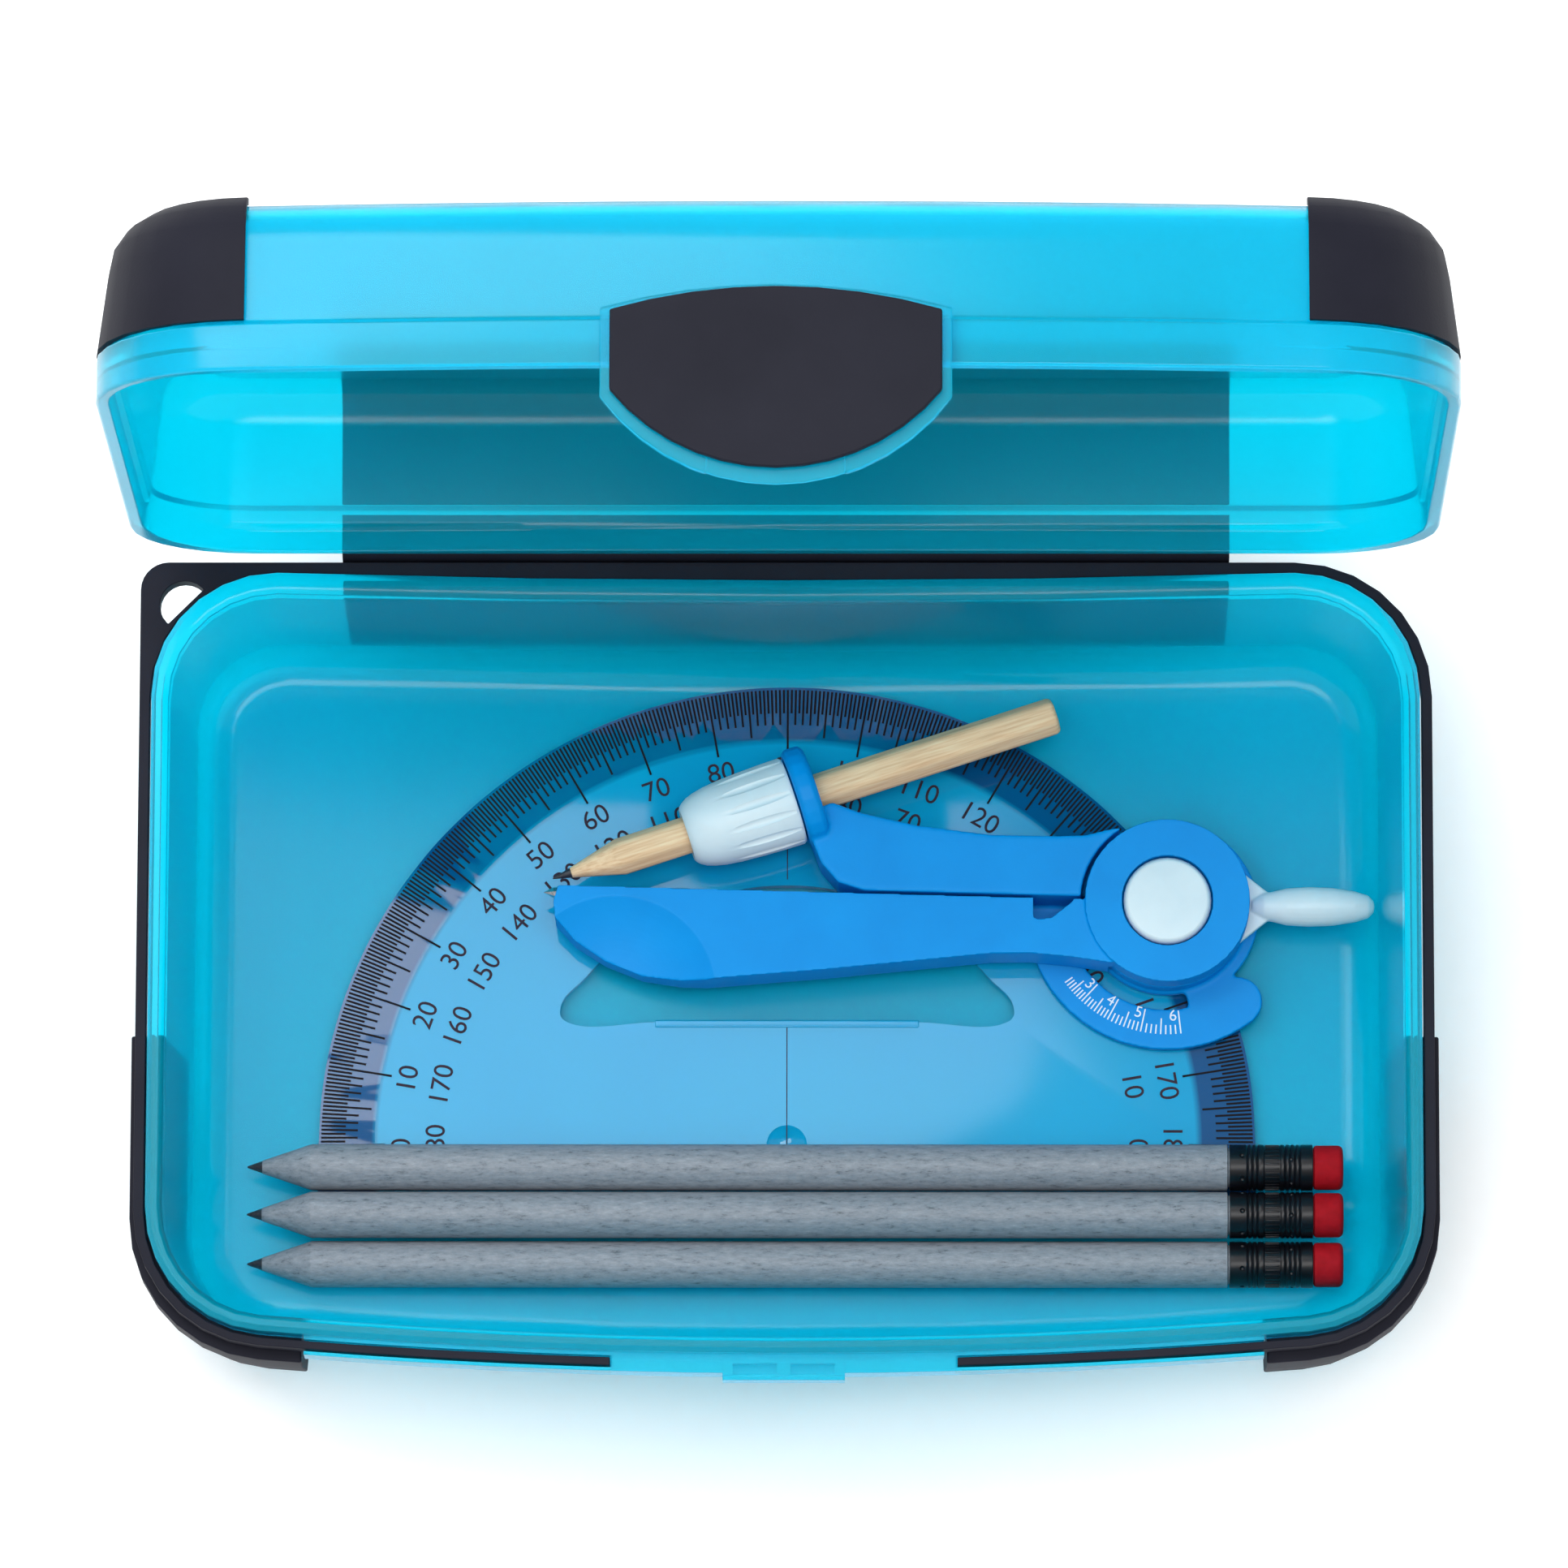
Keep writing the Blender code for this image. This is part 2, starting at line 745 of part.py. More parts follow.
def tab_outline(width, top, shoulder, radius, rise):
    """Straight sides, a bowed top and a round lower end, as (x, z)."""
    half = width / 2
    centre = shoulder + math.sqrt(radius ** 2 - half ** 2)
    sweep = math.asin(half / radius)
    points = arc((0, centre), radius, -math.pi / 2 - sweep, -math.pi / 2 + sweep, 14)
    crown = (half ** 2 + rise ** 2) / (2 * rise)
    swing = math.asin(half / crown)
    points += arc((0, top - crown), crown, math.pi / 2 - swing, math.pi / 2 + swing, 8)
    return points


def tab_plate(name, outline, near, far, collection):
    """Stands an (x, z) outline up between two depths, in the frame of the flex axis."""
    rings = [[(x, y - tab_axis_y, z - tab_axis_z) for x, z in outline] for y in (near, far)]
    return loft(name, rings, collection)


def make_latch_tab():
    outline = tab_outline(tab_width, tab_top_z, tab_shoulder_z, tab_bottom_radius, grip_top_rise)
    tab = tab_plate("latch_tab", outline, tab_axis_y, tab_axis_y - tab_thickness, case_parts)
    half = catch_width / 2 + gap + 0.4 * mm
    catch_face = front_y - catch_proud - gap - tab_axis_y
    window_top = -tab_axis_z
    window = box(
        "tab_window",
        (-half, -tab_thickness - 1 * mm, window_top - tab_window_height),
        (half, 1 * mm, window_top),
        cutters,
    )
    relief = box(
        "tab_relief",
        (-half, catch_face, tab_bottom_z - tab_axis_z - 5 * mm),
        (half, 1 * mm, window_top - tab_window_height + 1 * mm),
        cutters,
    )
    cut(tab, window, relief)
    hang_on(latch_axis, window, relief)
    return finish_part(tab, "aqua")


def make_latch_grip():
    outline = tab_outline(
        tab_width - 2 * grip_border, tab_top_z - 0.7 * mm, tab_shoulder_z + 0.8 * mm,
        tab_bottom_radius - 0.6 * mm, grip_top_rise,
    )
    face = tab_axis_y - tab_thickness - gap
    grip = tab_plate("latch_grip", outline, face, face - grip_thickness, case_parts)
    return finish_part(grip, "black")


# ---- Protractor ----

def make_protractor():
    centre = (0, protractor_y)
    bar_y = protractor_y - protractor_bar
    outline = arc(centre, protractor_radius, 0, math.pi, 72)
    outline += [(-protractor_radius, bar_y + 2 * mm), (2 * mm - protractor_radius, bar_y)]
    outline += [(protractor_radius - 2 * mm, bar_y), (protractor_radius, bar_y + 2 * mm)]
    lean = math.asin((window_base + window_corner) / (window_radius - window_corner))
    reach = (window_radius - window_corner) * math.cos(lean)
    low_y = protractor_y + window_base
    right = (reach, low_y + window_corner)
    left = (-reach, low_y + window_corner)
    window = arc(right, window_corner, -math.pi / 2, lean, 4)
    window += arc(centre, window_radius, lean, math.pi - lean, 24)[1:-1]
    window += arc(left, window_corner, math.pi - lean, math.pi * 1.5, 4)
    notch_y = low_y - window_notch_depth
    window += [
        (-window_notch_half, low_y),
        (window_notch_depth - window_notch_half, notch_y),
        (window_notch_half - window_notch_depth, notch_y),
        (window_notch_half, low_y),
    ]
    hole = arc(centre, centre_hole_radius, 0, 2 * math.pi, 24)[:-1]
    top = protractor_z + protractor_thickness
    plate = prism("protractor", outline, protractor_z, top, case_parts, holes=(window, hole))
    return finish_part(plate, "clear_blue")


# ---- Graphite pencils, each turned about its own axis with its tip at the origin ----

def make_pencil(number, place):
    name = f"pencil_{number}"
    bore = core_radius + gap
    ferrule_start = pencil_length - eraser_bare - ferrule_length
    ferrule_end = ferrule_start + ferrule_length
    plug = pencil_radius - ferrule_wall - gap
    wood_end = ferrule_start + ferrule_length * 0.55
    shaft = turned(
        name + "_shaft",
        [
            (core_bare, bore),
            (cone_length + core_bare, pencil_radius),
            (ferrule_start - gap, pencil_radius),
            (ferrule_start - gap, plug),
            (wood_end, plug),
            (wood_end, bore),
        ],
        case_parts, closed=True,
    )
    core = turned(
        name + "_core",
        [
            (0, 0),
            (0.2 * mm, 0.15 * mm),
            (core_bare, core_radius),
            (wood_end, core_radius),
            (wood_end, 0),
        ],
        case_parts,
    )
    ferrule = turned(
        name + "_ferrule",
        [
            (ferrule_start, pencil_radius - ferrule_wall),
            (ferrule_start, pencil_radius),
            (ferrule_end, pencil_radius),
            (ferrule_end, pencil_radius - ferrule_wall),
        ],
        case_parts, closed=True,
    )
    eraser = turned(
        name + "_eraser",
        [
            (wood_end + gap, 0),
            (wood_end + gap, plug),
            (ferrule_end + gap, plug),
            (ferrule_end + gap, eraser_radius),
            (pencil_length - 1 * mm, eraser_radius),
            (pencil_length - 0.3 * mm, eraser_radius - 0.4 * mm),
            (pencil_length, eraser_radius - 1.1 * mm),
            (pencil_length, 0),
        ],
        case_parts,
    )
    axis = pivot(name + "_lift", place)
    hang_on(axis, shaft, core, ferrule, eraser)
    finish_part(shaft, "newsprint")
    finish_part(core, "graphite")
    finish_part(ferrule, "crimped_black")
    finish_part(eraser, "red_rubber")


# ---- Compass, in the frame of its head pivot ----

def in_mm(points):
    return [(x * mm, y * mm) for x, y in points]


def parting_y(x):
    """The line between the two closed legs, at a distance from the head along X."""
    return leg_gap_offset + (leg_gap_reach - x) * leg_gap_slope


def head_disc(name, radius, low, high, collection):
    return disc(name, (0, 0), radius, low, high, collection)


def make_needle_leg():
    side = leg_side_gap
    right_x = -11.3 * mm
    left_x = -98.9 * mm
    outline = [(right_x, parting_y(right_x) - side), (left_x, parting_y(left_x) - side)]
    outline += in_mm([
        (-99.7, -0.1), (-99.4, -2.7), (-96.2, -6.2), (-91.2, -9.4), (-85.2, -11.8), (-78.8, -12.8),
        (-74.8, -12.9), (-55.3, -11.3), (-29.0, -8.7), (-22.2, -8.6), (-15.8, -9.2), (-9.2, -10.2),
        (-4.8, -9.1),
    ])
    leg = prism("compass_needle_leg", outline, needle_leg_z, leg_top_z, case_parts)
    below = head_disc("head_room", lower_disc_radius + head_clearance, 0, upper_disc_z, cutters)
    upper = head_disc("upper_disc", head_radius, upper_disc_z, head_top_z, cutters)
    bore = head_disc("hub_bore", hub_radius + gap, 0, 60 * mm, cutters)
    seat = head_disc("cap_seat", cap_radius + gap, head_top_z - cap_thickness, 60 * mm, cutters)
    notch = prism(
        "reading_notch",
        in_mm([(-21.8, 4.9), (-21.8, -2.6), (-21.1, -3.0), (-18.8, -2.8), (-15.2, 0.1), (-15.2, 4.9)]),
        0, 60 * mm, cutters,
    )
    hole_end = needle_length + gap - needle_reach
    needle_hole = turned(
        "needle_hole",
        [
            (left_x - 5 * mm, 0),
            (left_x - 5 * mm, needle_radius + gap),
            (hole_end, needle_radius + gap),
            (hole_end, 0),
        ],
        cutters, steps=12,
    )
    needle_hole.location = (0, needle_offset, needle_z)
    cut(leg, below, notch, needle_hole)
    join(leg, upper)
    cut(leg, bore, seat)
    hang_on(head_pivot, leg, below, upper, bore, seat, notch, needle_hole)
    return finish_part(leg, "blue")


def make_needle():
    start = -needle_reach
    needle = turned(
        "compass_needle",
        [
            (start, 0),
            (start + 2.2 * mm, needle_radius * 0.6),
            (start + 2.6 * mm, needle_radius),
            (start + needle_length, needle_radius),
            (start + needle_length, 0),
        ],
        case_parts, steps=12,
    )
    needle.location = (0, needle_offset, needle_z)
    hang_on(head_pivot, needle)
    return finish_part(needle, "steel")


def make_scale_plate():
    """The reading arc, which runs from under the closed legs round the front of the head."""
    mid = (scale_outer_radius + scale_inner_radius) / 2
    tip = (scale_outer_radius - scale_inner_radius) / 2
    start, end = math.radians(170), math.radians(308)
    outline = arc((0, 0), scale_outer_radius, start, end, 24)
    end_centre = (mid * math.cos(end), mid * math.sin(end))
    outline += arc(end_centre, tip, end, end + math.pi, 8)[1:-1]
    outline += arc((0, 0), scale_inner_radius, end, start, 20)
    slot_in = scale_inner_radius
    slot_start, slot_end = math.radians(200), math.radians(283)
    slot = arc((0, 0), slot_in + scale_slot_width, slot_start, slot_end, 16)
    slot += arc((0, 0), slot_in - 1 * mm, slot_end, slot_start, 16)
    low, high = lower_disc_z, lower_disc_z + scale_thickness
    plate = prism("scale_plate", outline, low, high, cutters)
    window = prism("scale_slot", slot, low - 1 * mm, high + 1 * mm, cutters)
    fill = disc("scale_fill", (0, 0), scale_inner_radius + 0.4 * mm, low, high, cutters)
    join(plate, fill)
    cut(plate, window)
    return plate, [window, fill]


def on_wood_axis(obj):
    """Places a piece turned about X on the wood pencil's axis, with its zero at the tip."""
    obj.rotation_euler = (0, 0, wood_slope)
    obj.location = (-wood_tip_back, wood_tip_offset, wood_z)


def make_pencil_leg():
    side = leg_side_gap
    right_x = -13.6 * mm
    left_x = -49.2 * mm
    outline = [(left_x, parting_y(left_x) + side), (right_x, parting_y(right_x) + side)]
    outline += in_mm([
        (-3.8, 1.9), (-3.8, 12.4), (-9.2, 11.9), (-13.2, 10.9), (-17.8, 10.7), (-29.0, 11.0),
        (-40.7, 12.5), (-49.8, 14.6), (-54.4, 16.3), (-58.2, 14.9), (-58.4, 11.9), (-56.2, 6.3),
        (-53.4, 3.1),
    ])
    leg = prism("compass_pencil_leg", outline, on_protractor_z + pencil_leg_lift, leg_top_z, case_parts)
    room = head_disc("leg_head_room", head_radius + head_clearance, 0, 60 * mm, cutters)
    lower = head_disc(
        "lower_disc", lower_disc_radius, lower_disc_z, lower_disc_z + lower_disc_thickness, cutters
    )
    strap = prism(
        "lower_strap",
        in_mm([(-1.8, 2.1), (-1.8, 8.9), (-17.8, 8.9), (-17.8, 2.1)]),
        lower_disc_z + 0.1 * mm, lower_disc_z + lower_disc_thickness - 0.1 * mm, cutters,
    )
    bore = head_disc("lower_hub_bore", hub_radius + gap, 0, 60 * mm, cutters)
    seat = head_disc("lower_cap_seat", cap_radius + gap, 0, lower_disc_z + cap_thickness, cutters)
    plate, plate_parts = make_scale_plate()
    ring_low = clamp_ring_at
    ring_high = clamp_ring_at + clamp_ring_thickness
    ring = turned(
        "clamp_ring",
        [
            (ring_low - spigot_length, 0),
            (ring_low - spigot_length, spigot_radius),
            (ring_low, spigot_radius),
            (ring_low, clamp_ring_radius - 0.6 * mm),
            (ring_low + 0.6 * mm, clamp_ring_radius),
            (ring_high - 0.8 * mm, clamp_ring_radius),
            (ring_high, clamp_ring_radius - 0.8 * mm),
            (ring_high, 0),
        ],
        cutters,
    )
    passage = turned(
        "clamp_passage",
        [
            (0, 0),
            (0, wood_radius + gap),
            (wood_length * 1.2, wood_radius + gap),
            (wood_length * 1.2, 0),
        ],
        cutters,
    )
    nut_room = turned(
        "nut_room",
        [
            (0, 0),
            (0, nut_radius + 0.5 * mm),
            (ring_low - 0.01 * mm, nut_radius + 0.5 * mm),
            (ring_low - 0.01 * mm, 0),
        ],
        cutters,
    )
    for piece in (ring, passage, nut_room):
        on_wood_axis(piece)
    cut(leg, room, nut_room)
    join(leg, ring, lower, strap, plate)
    cut(leg, bore, seat, passage)
    hang_on(
        pencil_leg_pivot, leg, room, lower, strap, bore, seat, plate, ring, passage, nut_room, *plate_parts
    )
    return finish_part(leg, "blue")


def make_handle():
    low, high = hub_flange_z, hub_flange_z + hub_flange_thickness
    middle = (low + high) / 2
    handle = turned(
        "compass_handle",
        [
            (grip_start - 2 * mm, 0),
            (grip_start - 2 * mm, 1.2 * mm),
            (grip_start, grip_neck_radius * 0.9),
            (grip_start + 1.5 * mm, grip_neck_radius),
            (grip_start + grip_length * 0.2, grip_radius * 0.93),
            (grip_start + grip_length * 0.4, grip_radius),
            (grip_start + grip_length * 0.62, grip_radius * 0.95),
            (grip_start + grip_length * 0.82, grip_radius * 0.78),
            (grip_start + grip_length * 0.94, grip_radius * 0.58),
            (grip_start + grip_length * 0.99, grip_radius * 0.3),
            (grip_start + grip_length, 0),
        ],
        case_parts,
    )
    handle.location = (0, 0, middle)
    hub_low = lower_disc_z + cap_thickness + gap
    hub_high = head_top_z - cap_thickness - gap
    hub = disc("hub", (0, 0), hub_radius, hub_low - middle, hub_high - middle, cutters)
    flange = disc("hub_flange", (0, 0), hub_flange_radius, low - middle, high - middle, cutters)
    lean = math.radians(38)
    reach = hub_flange_radius
    neck = grip_start + 1 * mm
    web = prism(
        "handle_web",
        [
            (2 * mm, -reach * 0.9),
            (reach * math.cos(lean), -reach * math.sin(lean)),
            (neck, -grip_neck_radius * 0.8),
            (neck, grip_neck_radius * 0.8),
            (reach * math.cos(lean), reach * math.sin(lean)),
            (2 * mm, reach * 0.9),
        ],
        low - middle + 0.1 * mm, high - middle - 0.1 * mm, cutters,
    )
    join(handle, hub, flange, web)
    hang_on(handle_pivot, handle, hub, flange, web)
    for piece in (hub, flange, web):
        piece.location = (0, 0, middle)
    return finish_part(handle, "white")


def make_hub_cap(name, low, dome):
    """A white button that closes one end of the hub; dome raises its outer face."""
    high = cap_thickness - cap_seat_gap
    cap = turned(
        name,
        [
            (0, 0),
            (0, cap_radius - cap_round),
            (cap_round, cap_radius),
            (high - cap_round, cap_radius),
            (high + dome / 2, cap_radius - cap_round),
            (high + dome, cap_radius / 2),
            (high + dome, 0),
        ],
        case_parts, steps=36,
    )
    cap.rotation_euler = (0, -math.pi / 2, 0)
    cap.location = (0, 0, low)
    hang_on(handle_pivot, cap)
    return finish_part(cap, "white")


def make_clamp_nut():
    back = clamp_ring_at - gap
    front = back - nut_length
    spigot_room = spigot_radius + gap
    nose_room = wood_radius + 2 * gap
    spigot_front = clamp_ring_at - spigot_length - gap
    nut = turned(
        "clamp_nut",
        [
            (front, nose_room),
            (front, nut_nose_radius - 0.6 * mm),
            (front + 0.6 * mm, nut_nose_radius + 0.3 * mm),
            (front + 3.2 * mm, nut_radius * 0.84),
            (front + nut_length * 0.55, nut_radius * 0.94),
            (back - 0.4 * mm, nut_radius),
            (back, nut_radius - 0.4 * mm),
            (back, spigot_room),
            (spigot_front, spigot_room),
            (spigot_front - 0.8 * mm, nose_room),
        ],
        case_parts, closed=True, steps=28,
    )
    on_wood_axis(nut)
    hang_on(nut_pivot, nut)
    return finish_part(nut, "white")


def make_wood_pencil():
    bore = wood_core_radius + gap
    wood = turned(
        "wood_pencil",
        [
            (wood_core_bare, bore),
            (wood_cone, wood_radius),
            (wood_length, wood_radius),
            (wood_length, bore),
        ],
        case_parts, closed=True,
    )
    core = turned(
        "wood_pencil_core",
        [
            (0, 0),
            (0.2 * mm, 0.12 * mm),
            (wood_core_bare, wood_core_radius),
            (wood_length, wood_core_radius),
            (wood_length, 0),
        ],
        case_parts, steps=16,
    )
    for piece in (wood, core):
        on_wood_axis(piece)
    hang_on(wood_slide, wood, core)
    finish_part(wood, "bare_wood")
    finish_part(core, "graphite")


# ---- Assembly ----

lid_axis = pivot("lid_axis", (0, hinge_y, hinge_z), turn=-math.pi / 2)
latch_axis = pivot("latch_axis", (0, tab_axis_y - hinge_y, tab_axis_z))
hang_on(lid_axis, latch_axis)
head_pivot = pivot("head_pivot", (head_x, head_y, 0))
pencil_leg_pivot = pivot("pencil_leg_pivot", (0, 0, 0))
handle_pivot = pivot("handle_pivot", (0, 0, 0))
nut_pivot = pivot("nut_pivot", (0, 0, 0))
wood_slide = pivot("wood_slide", (0, 0, 0))
hang_on(head_pivot, pencil_leg_pivot, handle_pivot)
hang_on(pencil_leg_pivot, nut_pivot, wood_slide)

make_base_tub()
make_rim_frame()
make_base_hinge_panel()
make_hinge_web()
for hand, side in (("left", -1), ("right", 1)):
    make_base_bumper(f"base_bumper_{hand}", side)

shell = make_lid_shell()
panel = make_lid_hinge_panel()
hang_on(lid_axis, shell, panel)
for hand, side in (("left", -1), ("right", 1)):
    cap = make_lid_cap(f"lid_corner_cap_{hand}", side)
    hang_on(lid_axis, cap, cap.modifiers[0].object)
hang_on(latch_axis, make_latch_tab(), make_latch_grip())

make_protractor()
on_bar_z = on_protractor_z + pencil_radius
on_floor_z = floor_top_z + gap + pencil_radius
make_pencil(1, (pencil_tip_x, pencil_first_y, on_bar_z))
make_pencil(2, (pencil_tip_x, pencil_first_y - pencil_pitch, on_bar_z))
drop = on_bar_z - on_floor_z
third_y = pencil_first_y - pencil_pitch - math.sqrt((2 * pencil_radius + 2 * gap) ** 2 - drop ** 2)
make_pencil(3, (pencil_tip_x, third_y, on_floor_z))

make_needle_leg()
make_needle()
make_pencil_leg()
make_handle()
make_hub_cap("hub_cap_top", head_top_z - cap_thickness + cap_seat_gap, cap_proud)
make_hub_cap("hub_cap_bottom", lower_disc_z, 0)
make_clamp_nut()
make_wood_pencil()
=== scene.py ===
import json
import math

import bpy
from mathutils import Matrix, Vector


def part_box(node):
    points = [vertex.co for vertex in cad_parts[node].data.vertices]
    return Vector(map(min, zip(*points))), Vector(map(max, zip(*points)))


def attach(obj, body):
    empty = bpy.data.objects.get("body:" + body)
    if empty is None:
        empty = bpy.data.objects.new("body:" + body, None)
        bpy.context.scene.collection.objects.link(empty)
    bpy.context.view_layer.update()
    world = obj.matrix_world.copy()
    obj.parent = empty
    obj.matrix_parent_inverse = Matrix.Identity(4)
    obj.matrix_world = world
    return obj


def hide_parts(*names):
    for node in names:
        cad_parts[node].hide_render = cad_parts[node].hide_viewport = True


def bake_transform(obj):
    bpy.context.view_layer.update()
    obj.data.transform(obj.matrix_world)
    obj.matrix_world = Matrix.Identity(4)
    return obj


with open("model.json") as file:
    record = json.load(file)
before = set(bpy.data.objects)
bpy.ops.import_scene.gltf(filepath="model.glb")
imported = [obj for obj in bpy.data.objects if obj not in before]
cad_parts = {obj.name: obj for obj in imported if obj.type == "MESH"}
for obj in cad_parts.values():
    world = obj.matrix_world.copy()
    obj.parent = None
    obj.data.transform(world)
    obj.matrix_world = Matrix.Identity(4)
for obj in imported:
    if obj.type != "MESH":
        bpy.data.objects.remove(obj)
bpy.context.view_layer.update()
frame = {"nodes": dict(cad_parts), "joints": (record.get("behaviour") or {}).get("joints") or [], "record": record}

mm = 0.001
print("frame loaded:", len(frame["nodes"]), "nodes")


# small helpers that every piece uses

def linear(hexColour):
    # sRGB hex to the linear colour that shaders take
    channels = [int(hexColour[i:i + 2], 16) / 255 for i in (0, 2, 4)]
    return [c / 12.92 if c <= 0.04045 else ((c + 0.055) / 1.055) ** 2.4 for c in channels] + [1.0]


def newMaterial(name):
    material = bpy.data.materials.new(name)
    material.use_nodes = True
    return material, material.node_tree, material.node_tree.nodes["Principled BSDF"]


def addNode(tree, kind, inputs=None, to=None, stops=(), **settings):
    # one shader node: an input is a value or another node's output, its first output goes to
    # the given socket, and stops are the places and colours of a ramp
    node = tree.nodes.new("ShaderNode" + kind)
    for key, value in settings.items():
        setattr(node, key, value)
    for key, value in (inputs or {}).items():
        if isinstance(value, bpy.types.NodeSocket):
            tree.links.new(value, node.inputs[key])
        else:
            node.inputs[key].default_value = value
    for i, (place, colour) in enumerate(stops):
        if i == len(node.color_ramp.elements):
            node.color_ramp.elements.new(place)
        node.color_ramp.elements[i].position = place
        node.color_ramp.elements[i].color = linear(colour)
    if to:
        tree.links.new(node.outputs[0], to)
    return node


def setShader(shader, **values):
    for key, value in values.items():
        shader.inputs[key.replace("_", " ")].default_value = value


def selectOnly(piece):
    bpy.ops.object.select_all(action="DESELECT")
    piece.select_set(True)
    bpy.context.view_layer.objects.active = piece


def editMode(piece):
    selectOnly(piece)
    bpy.ops.object.mode_set(mode="EDIT")
    bpy.ops.mesh.select_all(action="SELECT")


def objectMode():
    bpy.ops.object.mode_set(mode="OBJECT")


def placeMesh(piece, move=(0, 0, 0), turn=0.0, axis="Z"):
    # turn about the origin, then move, with the place kept in the mesh
    piece.data.transform(Matrix.Translation(move) @ Matrix.Rotation(turn, 4, axis))
    return piece


def addBlock(size):
    # a block of this size round the origin
    bpy.ops.object.select_all(action="DESELECT")
    bpy.ops.mesh.primitive_cube_add(size=1)
    block = bpy.context.active_object
    bpy.ops.transform.resize(value=size)
    bpy.ops.object.transform_apply(scale=True)
    return block


def copyPiece(piece, name):
    # a copy with its own mesh
    selectOnly(piece)
    bpy.ops.object.duplicate(linked=False)
    copy = bpy.context.active_object
    copy.name = name
    return copy


def joinPieces(name, pieces):
    bpy.ops.object.select_all(action="DESELECT")
    for piece in pieces:
        piece.select_set(True)
    bpy.context.view_layer.objects.active = pieces[0]
    bpy.ops.object.join()
    joined = bpy.context.active_object
    joined.name = name
    objectMode()
    bpy.ops.object.transform_apply(location=True, rotation=True, scale=True)
    return joined


def applyModifier(piece, kind, **settings):
    selectOnly(piece)
    modifier = piece.modifiers.new(kind.lower(), kind)
    for key, value in settings.items():
        setattr(modifier, key, value)
    bpy.ops.object.modifier_apply(modifier=modifier.name)


def softenEdges(piece, width, segments=3, angle=40):
    applyModifier(piece, "BEVEL", width=width, segments=segments, limit_method="ANGLE",
                  angle_limit=math.radians(angle))


def carve(piece, tool, operation="DIFFERENCE"):
    applyModifier(piece, "BOOLEAN", object=tool, operation=operation, solver="EXACT")
    bpy.data.objects.remove(tool)


def meltTogether(piece, grain, smoothing):
    # one even skin over joined shapes, with soft moulded fillets
    applyModifier(piece, "REMESH", mode="VOXEL", voxel_size=grain)
    applyModifier(piece, "SMOOTH", factor=0.5, iterations=smoothing)


def ringOf(piece, count, start=0.0):
    # copies turned evenly round the X axis; the first piece is used up
    copies = []
    for i in range(count):
        copy = copyPiece(piece, piece.name)
        copies.append(placeMesh(copy, turn=start + 2 * math.pi * i / count, axis="X"))
    bpy.data.objects.remove(piece)
    return copies


def turnProfile(name, profile, steps=64, axis="X", sweep=2 * math.pi, start=0.0, closed=False):
    # (distance along the axis, radius) points, drawn from one corner and spun round the axis
    along = Vector((1, 0, 0)) if axis == "X" else Vector((0, 0, 1))
    out = Vector((0, 0, 1)) if axis == "X" else Vector((0, -1, 0))
    bpy.ops.object.select_all(action="DESELECT")
    bpy.ops.mesh.primitive_plane_add(size=mm)
    piece = bpy.context.active_object
    piece.name = name
    editMode(piece)
    bpy.ops.mesh.merge(type="CENTER")
    corners = [along * a + out * r for a, r in profile]
    bpy.ops.transform.translate(value=corners[0])
    for before, after in zip(corners, corners[1:] + (corners[:1] if closed else [])):
        bpy.ops.mesh.extrude_region_move(TRANSFORM_OT_translate={"value": after - before})
    bpy.ops.mesh.select_all(action="SELECT")
    bpy.ops.mesh.spin(steps=steps, angle=sweep, center=(0, 0, 0), axis=along)
    bpy.ops.mesh.select_all(action="SELECT")
    bpy.ops.mesh.remove_doubles(threshold=0.001 * mm)
    if sweep < 2 * math.pi:
        bpy.ops.mesh.select_all(action="SELECT")
        bpy.ops.mesh.fill_holes(sides=0)
    bpy.ops.mesh.select_all(action="SELECT")
    bpy.ops.mesh.normals_make_consistent(inside=False)
    objectMode()
    return placeMesh(piece, turn=start, axis=along)


def outlineSolid(name, outlines, low, high):
    # flat closed curves, the first the outside and the rest holes, made a solid between two levels
    curve = bpy.data.curves.new(name, "CURVE")
    curve.dimensions = "2D"
    curve.fill_mode = "BOTH"
    curve.resolution_u = 8
    curve.extrude = (high - low) / 2
    for outline in outlines:
        spline = curve.splines.new("BEZIER")
        spline.bezier_points.add(len(outline) - 1)
        for point, (x, y, handle) in zip(spline.bezier_points, outline):
            point.co = (x, y, 0)
            point.handle_left_type = handle
            point.handle_right_type = handle
        spline.use_cyclic_u = True
    holder = bpy.data.objects.new(name, curve)
    bpy.context.scene.collection.objects.link(holder)
    selectOnly(holder)
    bpy.ops.object.convert(target="MESH")
    piece = bpy.context.active_object
    editMode(piece)
    bpy.ops.mesh.remove_doubles(threshold=0.001 * mm)
    bpy.ops.mesh.dissolve_limited(angle_limit=math.radians(0.2))
    bpy.ops.mesh.select_all(action="SELECT")
    bpy.ops.mesh.normals_make_consistent(inside=False)
    objectMode()
    return placeMesh(piece, (0, 0, (low + high) / 2))


def writeFigure(text, height, place, turn):
    # a printed figure, flat, its middle at the place
    bpy.ops.object.select_all(action="DESELECT")
    bpy.ops.object.text_add()
    figure = bpy.context.active_object
    figure.data.body = text
    figure.data.size = height
    figure.data.align_x = "CENTER"
    figure.data.align_y = "CENTER"
    figure.data.resolution_u = 4
    figure.data.extrude = 0.01 * mm
    bpy.ops.object.convert(target="MESH")
    return placeMesh(bpy.context.active_object, place, turn)


